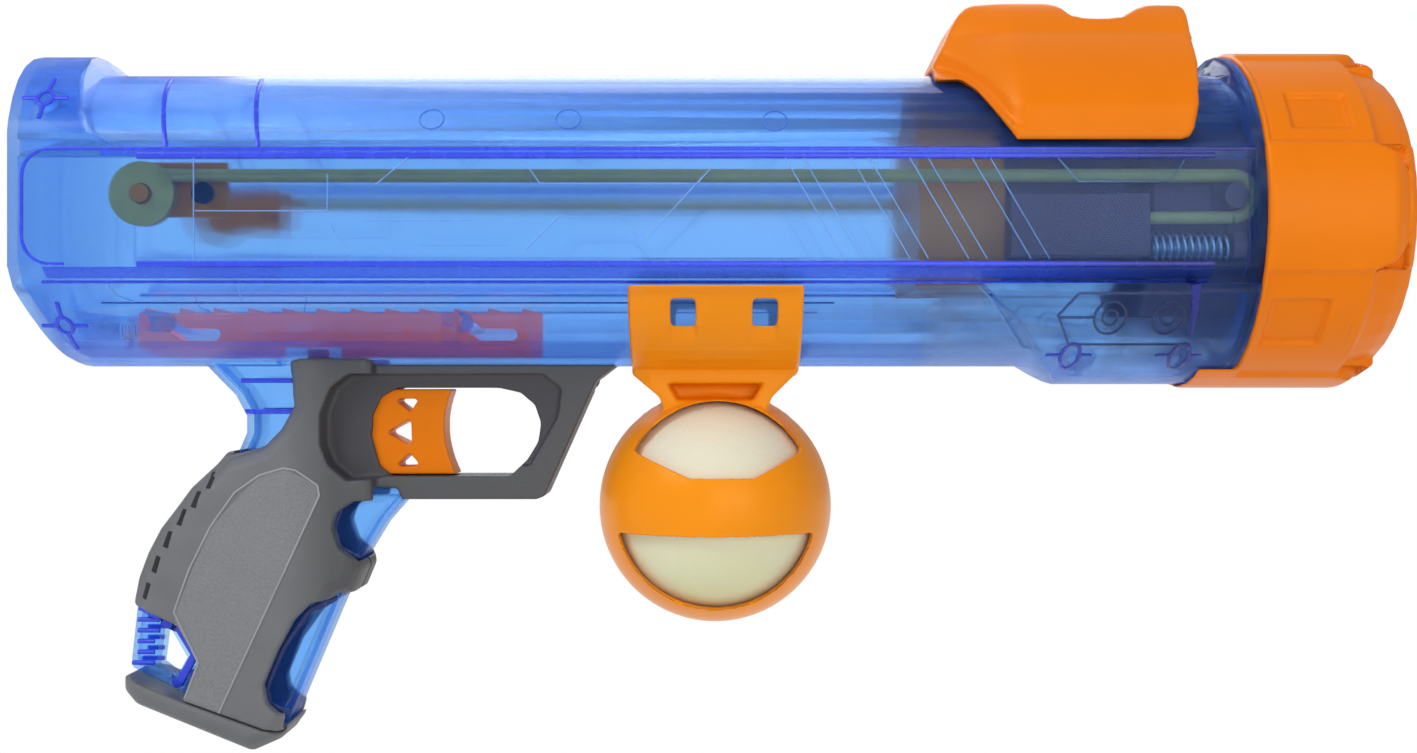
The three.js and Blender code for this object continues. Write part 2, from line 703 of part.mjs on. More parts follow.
function sledCarriage() {
  const rear = carriageRear;
  const disc = rodX(carriageRadius, rear, rear + carriageWeb, 0, 0, roundSides);
  const rim = cut(
    rodX(carriageRadius, rear, rear + carriageLength, 0, 0, roundSides),
    rodX(carriageRadius - 3, rear - 1, rear + carriageLength + 1, 0, 0, roundSides),
  );
  const webs = [0, 60, 120].map((angle) => {
    const web = new THREE.BoxGeometry(carriageLength - 2, 2 * carriageRadius - 3, 2.2);
    web.rotateX((angle * Math.PI) / 180);
    web.translate(rear + carriageLength / 2, 0, 0);
    return solid(web);
  });
  const underBarrel = barrelRadius - wall - slideFit - 0.4;
  const spine = block(rear, spineFront - 1, -spineWidth / 2, spineWidth / 2, cupRadius + fit, 2 * barrelRadius).intersect(
    rodX(underBarrel, rear, spineFront, 0, 0, roundSides),
  );
  const stem = block(stemRear, spineFront, -stemWidth / 2, stemWidth / 2, cupRadius + 2, barrelRadius + 4.6);
  const ground = block(
    rear - 1, rear + carriageLength + 1, -barrelRadius, barrelRadius, -2 * barrelRadius, carriageFloor,
  );
  return cut(join(disc, rim, ...webs, spine, stem), ground);
}

function ballCup() {
  const rear = carriageRear + carriageLength + fit;
  const dishCentre = rear + cupLength + 22;
  const shell = cut(
    rodX(cupRadius, rear, rear + cupLength, 0, 0, roundSides),
    rodX(cupRadius - cupWall, rear - 1, rear + 14, 0, 0, roundSides),
  );
  const hub = rodX(9, rear, rear + 16, 0, 0, 24);
  const ears = [-1, 1].map((y) => {
    const from = y * (cupRadius - 6);
    const to = y * earOuter;
    return block(rear, earFront, Math.min(from, to), Math.max(from, to), earBottom, earTop);
  });
  const ball = new THREE.SphereGeometry(ballDiameter / 2 + slideFit, 28, 18);
  ball.translate(dishCentre, 0, 0);
  const ground = block(
    rear - 1, rear + cupLength + 6, -barrelRadius, barrelRadius, -2 * barrelRadius, carriageFloor,
  );
  return cut(join(shell, hub, ...ears), solid(ball), ground, cupScrewRoom());
}

// The handle: a saddle with a raised rear, a finger valley and a raised front, and a wing down each side
function cockingHandle() {
  const rear = handleRear;
  const front = handleRear + handleLength;
  const skin = barrelRadius;
  const top = barrelRadius + handleRise;
  const valley = top - 5.6;
  const profile = new THREE.Shape();
  profile.moveTo(rear, skin - 5.2);
  profile.lineTo(rear + 0.5, skin + 0.3);
  profile.lineTo(rear + 5.5, skin + 10.8);
  profile.quadraticCurveTo(rear + 9, top - 0.3, rear + 13, top);
  profile.lineTo(rear + 33, top);
  const valleyRear = rear + 39.5;
  const valleyFront = front - 16.7;
  profile.quadraticCurveTo(valleyRear - 2, top - 0.4, valleyRear, valley + 1.6);
  profile.quadraticCurveTo(valleyRear + 1.5, valley, (valleyRear + valleyFront) / 2, valley);
  profile.quadraticCurveTo(valleyFront - 2.5, valley, valleyFront, valley + 2);
  profile.quadraticCurveTo(valleyFront + 3.5, top - 0.8, valleyFront + 8.5, top - 0.6);
  profile.lineTo(front - 2, top - 0.8);
  profile.quadraticCurveTo(front, top - 1.4, front, top - 5);
  profile.lineTo(front - 1.2, skin - 1.5);
  profile.lineTo(front - 2.4, skin - 9.7);
  profile.quadraticCurveTo(front - 3.6, handleWingBottom, front - 7.2, handleWingBottom);
  profile.lineTo(rear + 20.2, handleWingBottom);
  profile.lineTo(rear + 15.7, skin - 16.7);
  profile.lineTo(rear + 10.8, skin - 8.5);
  profile.lineTo(rear + 7, skin - 4.8);
  const edge = handleHalfWidth;
  const section = new THREE.Shape();
  section.moveTo(-edge - 1.2, handleWingBottom - 1);
  section.lineTo(edge + 1.2, handleWingBottom - 1);
  section.lineTo(edge, skin - 14);
  section.quadraticCurveTo(edge - 5, skin - 1, edge - 16.5, skin + 9);
  section.quadraticCurveTo(edge - 21.5, top - 2, edge - 27.5, top + 1);
  section.lineTo(27.5 - edge, top + 1);
  section.quadraticCurveTo(21.5 - edge, top - 2, 16.5 - edge, skin + 9);
  section.quadraticCurveTo(5 - edge, skin - 1, -edge, skin - 14);
  const plan = [
    [rear - 2, 16.5 - edge], [rear + 22, -edge - 2.5], [front - 7, -edge - 2.5], [front + 1, 3 - edge],
    [front + 1, edge - 3], [front - 7, edge + 2.5], [rear + 22, edge + 2.5], [rear - 2, edge - 16.5],
  ];
  const body = plate(profile, -2 * edge, 2 * edge)
    .intersect(bar(section, rear - 20, front + 20)).intersect(column(plan, 0, 2 * top));
  const stemRoom = block(
    stemRear - fit, spineFront + fit, -stemWidth / 2 - fit, stemWidth / 2 + fit, 0, barrelRadius + 4.6 + fit,
  );
  const hollow = block(stemRear + 3, spineFront - 20, -9, 9, 0, barrelRadius + 10);
  return largest(cut(
    body,
    bar(barrelSection(slideFit), rear - 20, front + 20),
    rodX(flareRadius + fit, hoodStart - slideFit, front + 30, 0, 0, roundSides),
    stemRoom, hollow,
    ...handleScrewPlaces.map((x) =>
      rodZ(shankRadius + fit, x, barrelRadius - 3, barrelRadius + handleScrewReach + 2)),
  ));
}

const handleScrewPlaces = [handleRear + 20.5, spineFront - 5];
const handleScrewReach = 10;

// The screw on the barrel axis that holds the ball cup to the carriage
function cupScrew() {
  const seat = carriageRear + 2;
  return join(
    rodX(headRadius, seat - headHeight, seat, 0, 0, 20),
    rodX(shankRadius, seat - 1, carriageRear + carriageLength + 12, 0, 0, 12),
  );
}

const cupScrewRoom = () => join(
  rodX(headRadius + fit, carriageRear - 4, carriageRear + 2 + fit, 0, 0, 20),
  rodX(shankRadius + fit, carriageRear, carriageRear + carriageLength + 13, 0, 0, 12),
);

function rodZ(radius, x, z0, z1, sides = 16) {
  const rod = new THREE.CylinderGeometry(radius, radius, z1 - z0, sides);
  rod.rotateX(Math.PI / 2);
  rod.translate(x, 0, (z0 + z1) / 2);
  return solid(rod);
}

// A screw from inside the sled up through its stem into the handle
function handleScrew(x) {
  return join(
    rodZ(headRadius, x, cupRadius + 2 + fit, cupRadius + 2 + fit + headHeight, 20),
    rodZ(shankRadius, x, cupRadius + 3, barrelRadius + handleScrewReach, 12),
  );
}

function carriageWithScrewHoles() {
  const holes = handleScrewPlaces.flatMap((x) => [
    rodZ(shankRadius + fit, x, cupRadius - 4, 2 * barrelRadius),
    rodZ(headRadius + fit, x, cupRadius - 4, cupRadius + 2 + 2 * fit + headHeight),
  ]);
  const core = rodX(7, carriageRear, carriageRear + carriageLength, 0, 0, 20);
  return cut(join(sledCarriage(), core), cupScrewRoom(), ...holes);
}

// The ratchet bar with its saw teeth and its two cranked slots
function ratchetBar() {
  const outline = [[barRear, barBottom + 3], [barRear, barTop]];
  const end = barRear + barLength;
  for (let x = toothStart; x < end - toothEndMargin; x += toothPitch) {
    outline.push([x, barTop], [x, barTop + toothHeight], [Math.min(x + toothPitch * 0.62, end - 0.1), barTop]);
  }
  outline.push([barRear + barLength, barTop], [barRear + barLength, barBottom], [barRear + 6, barBottom]);
  const room = pinRadius + fit;
  const slots = pinPlaces.flatMap((x) => {
    const lowX = x + slotDropX;
    const lowZ = pinHeight - slotDropZ;
    const endX = x + slotDropX + slotRun;
    return [slotBetween(x, pinHeight, lowX, lowZ, room), slotBetween(lowX, lowZ, endX, lowZ, room)];
  });
  const notch = block(
    armFront - armWidth - triggerTravel - slideFit, armFront + slotDropX + slideFit,
    -barHalfWidth - 1, barHalfWidth + 1, barBottom - 1, armTip + slideFit,
  );
  return cut(plate(outline, -barHalfWidth, barHalfWidth), notch, ...slots);
}

function slotBetween(x0, z0, x1, z1, radius) {
  const length = Math.hypot(x1 - x0, z1 - z0);
  const across = new THREE.BoxGeometry(length, 2 * barHalfWidth + 2, 2 * radius);
  across.rotateY(-Math.atan2(z1 - z0, x1 - x0));
  across.translate((x0 + x1) / 2, 0, (z0 + z1) / 2);
  const reach = barHalfWidth + 1;
  const ends = [[x0, z0], [x1, z1]].map(([x, z]) => rodY(radius, x, z, -reach, reach, 16));
  return join(solid(across), ...ends);
}

function trigger() {
  const shape = new THREE.Shape();
  shape.moveTo(triggerRear, triggerTop);
  shape.lineTo(119.8, triggerTop);
  shape.quadraticCurveTo(114.8, triggerTop - 12.4, 121.2, triggerBottom);
  shape.lineTo(triggerRear, triggerBottom);
  shape.closePath();
  const holes = [
    [[102.6, -2.8], [110.1, -2.8], [107.6, -6.6]],
    [[100.4, -12.8], [107.7, -8.8], [108, -16.6]],
    [[102.9, -23], [110.6, -22.6], [107.4, -19]],
  ].map((corners) => plate(
    corners.map(([x, z]) => [x, triggerTop + z]), -triggerHalfWidth - 1, triggerHalfWidth + 1,
  ));
  const arm = join(
    block(armFront - armWidth, 100, -armThickness, armThickness, triggerTop - 4, triggerTop + slideFit - fit),
    block(armFront - armWidth, armFront, -armThickness, armThickness, triggerTop - 4, armTip),
  );
  return cut(join(plate(shape, -triggerHalfWidth, triggerHalfWidth), arm), ...holes);
}

// Clip round the barrel's underside, neck, and a cup that holds the ball's near side
function ballHolder() {
  const clip = bar(barrelSection(fit + clipWall), holderX - clipHalfLength, holderX + clipHalfLength)
    .subtract(bar(barrelSection(fit), holderX - 60, holderX + 60))
    .intersect(block(
      holderX - 60, holderX + 60, -2 * barrelRadius, 2 * barrelRadius, -2 * barrelRadius, clipTop,
    ));
  const under = -barrelRadius;
  const neck = plate([
    [holderX - clipHalfLength, under + 2], [holderX - clipHalfLength, under - 2.4], [holderX - 16.4, under - 9],
    [holderX - 15, under - 13], [holderX + 15, under - 13], [holderX + 16.6, under - 9],
    [holderX + clipHalfLength, under - 1.4], [holderX + clipHalfLength, under + 2],
  ], -13, 8);
  const neckPanel = plate([
    [holderX - 13.6, under - 5.2], [holderX + 13.6, under - 5.2],
    [holderX + 11, under - 9.8], [holderX - 11, under - 9.8],
  ], -20, -11);
  const foot = join(clip, cut(neck, neckPanel));
  const outer = ballDiameter / 2 + fit + holderWall;
  const inner = ballDiameter / 2 + fit;
  const ballShape = (radius) => {
    const sphere = new THREE.SphereGeometry(radius, 28, 16);
    sphere.rotateX(Math.PI / 2);
    sphere.translate(holderX, 0, holderZ);
    return solid(sphere);
  };
  const dome = join(
    ballShape(outer).intersect(block(holderX - 2 * outer, holderX + 2 * outer, -2 * outer, 0.01, 4 * holderZ, 0)),
    rodY(outer, holderX, holderZ, 0, holderRim, 28),
  );
  const room = join(ballShape(inner), rodY(inner, holderX, holderZ, 0, holderRim + 30, 28));
  const upper = new THREE.Shape();
  upper.moveTo(holderX - 7.2, holderZ + 9.7);
  arcPoints(windowRadius - 1.3, Math.PI - 0.487, 0.487, 16, holderX + 0.7, holderZ + 3.9)
    .forEach(([x, z]) => upper.lineTo(x, z));
  upper.lineTo(holderX + 11, holderZ + 9.7);
  upper.closePath();
  const lower = new THREE.Shape();
  const dip = Math.asin(6.4 / windowRadius);
  arcPoints(windowRadius, Math.PI + dip, 2 * Math.PI - dip, 16, holderX, holderZ).forEach(([x, z], i) =>
    i ? lower.lineTo(x, z) : lower.moveTo(x, z));
  lower.closePath();
  const clipWindows = [-12.6, 10.2].map((x) => block(
    holderX + x, holderX + x + 7, -2 * barrelRadius, 2 * barrelRadius, -32, -24.6,
  ));
  const barrelRoom = bar(barrelSection(fit), holderX - 60, holderX + 60);
  const windows = [plate(upper, -2 * outer, -6), plate(lower, -2 * outer, -6), ...clipWindows];
  return cut(join(foot, dome), room, barrelRoom, ...windows);
}

// Drum, flange and arm that the rear end of a band is wound on
function bandHub(side) {
  const at = (near, far) => (side < 0 ? [-far, -near] : [near, far]);
  const flangeOuter = hubFlangeInner + hubFlangeThickness;
  const body = join(
    rodY(hubFlangeRadius, hubX, hubZ, ...at(hubFlangeInner, flangeOuter), 28),
    rodY(hubRadius, hubX, hubZ, ...at(hubFlangeInner, panelHalfWidth - wall - 2 * fit), 24),
    block(hubX, clampScrewX + 5, ...at(hubFlangeInner, flangeOuter), hubZ - 6.2, bandHeight + 4),
  );
  const bore = rodY(
    shankRadius - 0.2 + fit, clampScrewX, clampScrewZ, ...at(hubFlangeInner - 3, barrelRadius + 2), 12,
  );
  return cut(body, bore);
}

function clampScrew(side) {
  const at = (near, far) => (side < 0 ? [-far, -near] : [near, far]);
  const face = bandOffset + tubeRadius + fit;
  const socket = rodY(1.3, clampScrewX, clampScrewZ, ...at(face + 0.8, face + 4), 6);
  return cut(join(
    rodY(headRadius, clampScrewX, clampScrewZ, ...at(face, face + 1.6), 20),
    rodY(shankRadius - 0.2, clampScrewX, clampScrewZ, ...at(hubFlangeInner + 0.2, face + 0.2), 12),
  ), socket);
}

// Post that a band turns round at the front, with the seat of the buffer spring
function bandGuide(side) {
  const at = (near, far) => (side < 0 ? [-far, -near] : [near, far]);
  const plateInner = shieldOuter + fit;
  const plateOuter = bandOffset - tubeRadius - fit;
  return join(
    rodY(guideRadius, guideX, guideZ, ...at(plateInner, panelHalfWidth - wall - fit), 24),
    block(guideX - 4.5, guideX + 4.4, ...at(plateInner, plateOuter), guideZ - 7, guideZ + guidePlateRise),
    block(springFront + fit, guideX + 4.4, ...at(plateInner, plateOuter), springHeight - 4, guideZ),
    rodX(springRadius + springWire / 2, springFront + fit, guideX + 3, side * springOffset, springHeight, 24),
  );
}

// A band's route: round the hub, forward along the side, round the front post
function bandRoute() {
  const turn = guideRadius + tubeRadius + slideFit;
  const route = [[hubX + bandDiscRadius / 3, hubZ + bandDiscRadius - tubeRadius - 1.5], [clampScrewX - 5, bandHeight]];
  for (let x = clampScrewX + 25; x < guideX - 6; x += 50) route.push([x, bandHeight]);
  arcPoints(turn, Math.PI / 2, -Math.PI / 2, 10, guideX, guideZ).forEach((p) => route.push(p));
  return route;
}

// A solid swept through stations, each a centre and the two unit vectors that its round section lies in
function sweep(stations, radius, sides) {
  const positions = stations.flatMap(({ centre, across, up }) =>
    Array.from({ length: sides }, (_, k) => {
      const angle = (2 * Math.PI * (k + 0.5)) / sides;
      return centre.clone()
        .addScaledVector(across, radius * Math.cos(angle))
        .addScaledVector(up, radius * Math.sin(angle))
        .toArray();
    }).flat());
  const index = [];
  const last = (stations.length - 1) * sides;
  for (let ring = 0; ring < last; ring += sides) {
    for (let k = 0; k < sides; k += 1) {
      const a = ring + k;
      const b = ring + ((k + 1) % sides);
      index.push(a, a + sides, b, b, a + sides, b + sides);
    }
  }
  for (let k = 1; k < sides - 1; k += 1) index.push(0, k, k + 1, last, last + k + 1, last + k);
  const geometry = new THREE.BufferGeometry();
  geometry.setAttribute('position', new THREE.BufferAttribute(new Float32Array(positions), 3));
  geometry.setIndex(index);
  const made = solid(geometry);
  if (made.volume() > 0) return made;
  geometry.setIndex(index.reverse());
  return solid(geometry);
}

// Stations along a route of [x, z] points at one distance from the middle plane
function flatRoute(points, y) {
  const centres = points.map(([x, z]) => new THREE.Vector3(x, y, z));
  return centres.map((centre, i) => {
    const before = centres[Math.max(0, i - 1)];
    const after = centres[Math.min(centres.length - 1, i + 1)];
    const lead = after.clone().sub(before).normalize();
    return { centre, across: new THREE.Vector3(0, 1, 0), up: new THREE.Vector3(-lead.z, 0, lead.x) };
  });
}

// The band, with the moulded disc at its rear end that sits on the hub's peg
function band(side) {
  const middle = side < 0 ? -bandOffset : bandOffset;
  const [near, far] = [middle - tubeRadius, middle + tubeRadius];
  const bore = rodY(hubRadius + fit, hubX, hubZ, near - 1, far + 1, 24);
  const disc = cut(rodY(bandDiscRadius, hubX, hubZ, near, far, 28), bore);
  return join(sweep(flatRoute(bandRoute(), side * bandOffset), tubeRadius, tubeSides), disc);
}

function bandPull(side) {
  const z = guideZ - guideRadius - tubeRadius - slideFit;
  const middle = (earFront + guideX) / 2;
  const route = flatRoute([[earFront + fit, z], [middle, z], [guideX - fit, z]], side * bandOffset);
  return sweep(route, tubeRadius, tubeSides);
}

// An unbroken coil spring along X, one ring of its wire at each step of the helix
function coil(x0, x1, y, z, radius, wire, turns) {
  const steps = Math.round(turns * coilSteps);
  const run = x1 - x0 - wire;
  const pitch = run / (2 * Math.PI * turns * radius);
  const stations = Array.from({ length: steps + 1 }, (_, i) => {
    const t = i / steps;
    const angle = 2 * Math.PI * turns * t;
    const out = new THREE.Vector3(0, Math.cos(angle), Math.sin(angle));
    const lead = new THREE.Vector3(pitch, -out.z, out.y).normalize();
    return {
      centre: new THREE.Vector3(x0 + wire / 2 + run * t, y + radius * out.y, z + radius * out.z),
      across: out,
      up: new THREE.Vector3().crossVectors(lead, out),
    };
  });
  return sweep(stations, wire / 2, coilSides);
}

const leastCoilGap = (length, wire, turns) => (length - wire) / turns - wire;
console.log('least gap between buffer spring coils, mm:',
  leastCoilGap(springFront - springRear, springWire, springTurns).toFixed(2));

// The launcher, put together
const launcher = new THREE.Group();
const parts = new THREE.Group();
parts.position.set(-handX, 0, -handZ);
launcher.add(parts);

function add(name, body, material) {
  const mesh = new THREE.Mesh(geometryOf(body), material);
  mesh.name = name;
  parts.add(mesh);
}

const sides = [['right', -1], ['left', 1]];
sides.forEach(([word, side]) => {
  add(`casing_${word}`, casingHalf(side), finish.blue());
  add(`grip_cover_${word}`, gripCover(side), finish.grey());
  add(`band_hub_${word}`, bandHub(side), finish.orange());
  add(`band_hub_screw_${word}`, clampScrew(side), finish.black());
  add(`band_guide_${word}`, bandGuide(side), finish.dark());
  add(`elastic_band_${word}`, band(side), finish.latex());
  add(`elastic_band_pull_${word}`, bandPull(side), finish.latex());
  add(`buffer_spring_${word}`, coil(
    springRear, springFront, side * springOffset, springHeight, springRadius, springWire, springTurns,
  ), finish.steel());
});
add('butt_cap', buttCap(), finish.grey());
add('muzzle_collar', muzzleCollar(), finish.orange());
add('muzzle_sleeve', muzzleSleeve(), finish.dark());
add('sled_carriage', carriageWithScrewHoles(), finish.orange());
add('ball_cup', ballCup(), finish.dark());
add('cocking_handle', cockingHandle(), finish.orange());
handleScrewPlaces.forEach((x, i) => add(`handle_screw_${i + 1}`, handleScrew(x), finish.steel()));
add('cup_screw', cupScrew(), finish.steel());
add('ratchet_bar', ratchetBar(), finish.orange());
add('trigger', trigger(), finish.orange());
add('ball_holder', ballHolder(), finish.orange());
casingScrews.forEach(([x, z], i) =>
  add(`casing_screw_${i + 1}`, screw(x, z, screwSeat(z), screwReach - 2), finish.black()));
gripScrews.forEach(([x, z], i) =>
  add(`grip_screw_${i + 1}`, screw(x, z, gripHalfWidth - headHeight - 0.8, screwReach - 4), finish.black()));
add('guard_screw', screw(...guardScrew, guardHalfWidth - headHeight - 0.8, screwReach - 4), finish.black());

const ballGeometry = new THREE.SphereGeometry(ballDiameter / 2, 28, 16);
ballGeometry.rotateX(Math.PI / 2);
ballGeometry.translate(holderX, 0, holderZ);
add('tennis_ball', solid(ballGeometry), finish.felt());

// Springs of the trigger and of the ratchet bar, each between the moving piece and the casing
add('trigger_spring', coil(
  armFront - armWidth - triggerTravel + slideFit, triggerRear - fit, 0, (triggerTop + triggerBottom) / 2,
  returnSpringRadius, returnSpringWire, returnSpringTurns,
), finish.steel());
add('ratchet_spring', coil(
  barRear - ratchetSpringLength, barRear - fit, 0, barBottom + 8, returnSpringRadius - 0.6,
  returnSpringWire, returnSpringTurns,
), finish.steel());

export default launcher;
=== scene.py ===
# A hand-held launcher for dog tennis balls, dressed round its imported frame. Metres, +X to the muzzle, +Z up.
import math

import bmesh
import bpy
import numpy as np
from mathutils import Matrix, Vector
from mathutils.bvhtree import BVHTree


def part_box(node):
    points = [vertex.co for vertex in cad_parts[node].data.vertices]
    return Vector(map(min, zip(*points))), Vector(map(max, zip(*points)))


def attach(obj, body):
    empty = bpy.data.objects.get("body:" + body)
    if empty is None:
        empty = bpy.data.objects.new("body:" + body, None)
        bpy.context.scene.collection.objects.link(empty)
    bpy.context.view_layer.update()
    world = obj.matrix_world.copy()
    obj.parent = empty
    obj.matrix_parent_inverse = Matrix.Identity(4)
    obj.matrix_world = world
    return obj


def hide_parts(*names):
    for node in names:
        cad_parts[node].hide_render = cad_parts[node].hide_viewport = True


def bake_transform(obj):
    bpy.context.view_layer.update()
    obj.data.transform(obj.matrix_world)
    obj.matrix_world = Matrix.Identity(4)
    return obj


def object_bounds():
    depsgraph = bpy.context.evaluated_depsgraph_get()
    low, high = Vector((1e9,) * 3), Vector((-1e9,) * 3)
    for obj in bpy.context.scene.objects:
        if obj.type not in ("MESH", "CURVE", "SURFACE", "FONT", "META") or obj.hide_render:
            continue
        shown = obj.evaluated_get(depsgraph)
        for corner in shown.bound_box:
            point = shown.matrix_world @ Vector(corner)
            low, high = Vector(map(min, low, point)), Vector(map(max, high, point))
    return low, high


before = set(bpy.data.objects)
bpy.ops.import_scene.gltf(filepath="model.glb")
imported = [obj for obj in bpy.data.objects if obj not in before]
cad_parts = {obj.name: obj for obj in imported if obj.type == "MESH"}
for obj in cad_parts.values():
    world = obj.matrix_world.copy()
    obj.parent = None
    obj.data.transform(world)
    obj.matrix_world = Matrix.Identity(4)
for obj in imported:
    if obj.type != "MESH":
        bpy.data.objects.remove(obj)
cad_low, cad_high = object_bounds()

# Camera: level, square to the right-hand side, near enough to show real perspective. Its height and place
# along the barrel come from the photograph's middle, and its focal length from 0.3 mm a pixel at 480 mm.
MM = 0.001
camera_distance = 480 * MM
camera_x = 136 * MM
camera_z = 54.8 * MM
photo_width, pixel_size = 1417, 0.3
sensor_width = 36
lens = bpy.data.cameras.new("camera")
lens.sensor_width = sensor_width
lens.lens = sensor_width * camera_distance / (photo_width * pixel_size * MM)
lens.clip_start = 0.01
camera = bpy.data.objects.new("camera", lens)
camera.location = (camera_x, -camera_distance, camera_z)
camera.rotation_euler = (math.pi / 2, 0, 0)
bpy.context.scene.collection.objects.link(camera)
bpy.context.scene.camera = camera
bpy.context.scene.view_settings.view_transform = "Standard"


# Casing: two halves of clear blue plastic, each moulded in one piece with the grip's core and the wrist loop.
# It is a little frosted inside: what lies near the wall is seen, and what lies deep is lost. Places in the
# barrel's frame, here and below, are millimetres from its rear wall, on its axis.
barrel_x, barrel_z = -60, 101
barrel_place = np.array([barrel_x, 0, barrel_z])
blue_tint = (0.43, 0.69, 0.99)
deep_tint = (0.16, 0.39, 0.98)
blue_haze = (0.05, 0.26, 1.0)
blue_edge = (0.012, 0.03, 0.80)
haze_share, edge_share, open_share = 0.04, 0.6, 0.42
deep_foot, deep_rise, deep_closing = 26, 10.0, 0.1
panel_foot, foot_rise = -20.5, 3.0
flare_rear, flare_run, skirt_opening = 262, 6.0, 0.4
loop_skin, loop_front, loop_foot, loop_top = 11.4, 47.5, -140.5, -112.8
bar_front, bar_thickness = 33, 4.2
loop_frame_rear, loop_frame_thickness = 38, 8.8
weld_distance, flat_angle = 2e-6, 0.6


class Value:
    """A shader number. An expression on values adds its Math nodes."""

    def __init__(self, finish, socket):
        self.finish = finish
        self.socket = socket

    def math(self, operation, *others):
        """A Math node on this value and others, in that order."""
        node = self.finish.node("ShaderNodeMath", {"operation": operation}, self, *others)
        return Value(self.finish, node.outputs[0])

    def reflected(self, operation, other):
        """A Math node on another value and this one."""
        node = self.finish.node("ShaderNodeMath", {"operation": operation}, other, self)
        return Value(self.finish, node.outputs[0])

    def clamped(self):
        """The value held between 0 and 1."""
        return self.math("MINIMUM", 1.0).math("MAXIMUM", 0.0)

    def __add__(self, other):
        return self.math("ADD", other)

    def __radd__(self, other):
        return self.math("ADD", other)

    def __sub__(self, other):
        return self.math("SUBTRACT", other)

    def __rsub__(self, other):
        return self.reflected("SUBTRACT", other)

    def __mul__(self, other):
        return self.math("MULTIPLY", other)

    def __truediv__(self, other):
        return self.math("DIVIDE", other)

    def __lt__(self, other):
        return self.math("LESS_THAN", other)

    def __gt__(self, other):
        return self.math("GREATER_THAN", other)

    def __abs__(self):
        return self.math("ABSOLUTE")


class Finish:
    """A material under construction, with one method for any node."""

    def __init__(self, name):
        self.material = bpy.data.materials.new(name)
        self.material.use_nodes = True
        self.tree = self.material.node_tree
        self.tree.nodes.clear()
        self.output = self.tree.nodes.new("ShaderNodeOutputMaterial")

    def node(self, kind, settings=None, *values, **named):
        """A node of a kind, with its settings made first, then its sockets by number or by name."""
        made = self.tree.nodes.new(kind)
        for key, setting in (settings or {}).items():
            setattr(made, key, setting)
        for key, value in list(enumerate(values)) + [(k.replace("_", " "), v) for k, v in named.items()]:
            self.feed(made.inputs[key], value)
        return made

    def feed(self, socket, value):
        """Links a value to a socket, or sets the socket to a number or a colour."""
        if isinstance(value, Value):
            value = value.socket
        if isinstance(value, bpy.types.NodeSocket):
            self.tree.links.new(value, socket)
        elif isinstance(value, tuple) and len(value) == 3 and socket.type == "RGBA":
            socket.default_value = (*value, 1)
        else:
            socket.default_value = value

    def place(self):
        """The object's own coordinates as a vector and as three values, in millimetres."""
        coordinates = self.node("ShaderNodeTexCoord").outputs["Object"]
        scaled = self.node("ShaderNodeVectorMath", {"operation": "SCALE"}, coordinates, Scale=1 / MM)
        parts = self.node("ShaderNodeSeparateXYZ", None, scaled.outputs[0])
        return scaled.outputs[0], [Value(self, socket) for socket in parts.outputs]

    def noise(self, where, scale, detail, roughness=0.6):
        """Noise between 0 and 1, with scale spots to a millimetre."""
        sockets = {"Vector": where, "Scale": scale, "Detail": detail, "Roughness": roughness}
        return Value(self, self.node("ShaderNodeTexNoise", None, **sockets).outputs["Fac"])

    def bump(self, height, strength, distance):
        """A normal tilted by the slope of a height, for a share of a distance in metres."""
        node = self.node("ShaderNodeBump", None, Strength=strength, Distance=distance, Height=height)
        return node.outputs[0]

    def blend_color(self, factor, first, second):
        """The first colour where the factor is 0 and the second where it is 1."""
        mix = self.node("ShaderNodeMix", {"data_type": "RGBA"})
        self.feed(mix.inputs["Factor"], factor)
        self.feed(mix.inputs[6], first)
        self.feed(mix.inputs[7], second)
        return mix.outputs[2]

    def mottled(self, factor, color, dark, light):
        """A colour between dark and light shares of itself."""
        dull, bright = tuple(c * dark for c in color), tuple(min(1, c * light) for c in color)
        return self.blend_color(factor, dull, bright)

    def blend_shader(self, factor, first, second):
        """The first shader where the factor is 0 and the second where it is 1."""
        return self.node("ShaderNodeMixShader", None, factor, first.outputs[0], second.outputs[0])

    def surface(self, shader):
        """The finished material, with a shader on its surface."""
        self.tree.links.new(shader.outputs[0], self.output.inputs["Surface"])
        return self.material


def merged_copy(node, name, sharp, edge=0.0):
    """A copy of a CAD node's mesh with its loose triangles welded and its flat faces made whole. Edges
    steeper than sharp degrees stay crisp, or get a small round of the edge's width in millimetres."""
    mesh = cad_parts[node].data.copy()
    mesh.name = name
    made = bmesh.new()
    made.from_mesh(mesh)
    bmesh.ops.remove_doubles(made, verts=made.verts, dist=weld_distance)
    bmesh.ops.dissolve_limit(made, angle_limit=math.radians(flat_angle), verts=made.verts, edges=made.edges)
    made.to_mesh(mesh)
    made.free()
    mesh.materials.clear()
    piece = bpy.data.objects.new(name, mesh)
    bpy.context.scene.collection.objects.link(piece)
    mesh.polygons.foreach_set("use_smooth", [True] * len(mesh.polygons))
    mesh.set_sharp_from_angle(angle=math.radians(sharp))
    if edge:
        bevel = piece.modifiers.new("edge", "BEVEL")
        bevel.width = edge * MM
        bevel.segments = 2
        bevel.limit_method = "ANGLE"
        bevel.angle_limit = math.radians(sharp)
        bevel.harden_normals = True
        bevel.use_clamp_overlap = True
    return piece


def formed(mesh, form):
    """Moves a mesh's points by a form, which takes and returns rows of mm in the barrel's frame."""
    flat = np.empty(len(mesh.vertices) * 3)
    mesh.vertices.foreach_get("co", flat)
    places = flat.reshape(-1, 3) / MM - barrel_place
    mesh.vertices.foreach_set("co", ((form(places) + barrel_place) * MM).ravel())
    mesh.update()


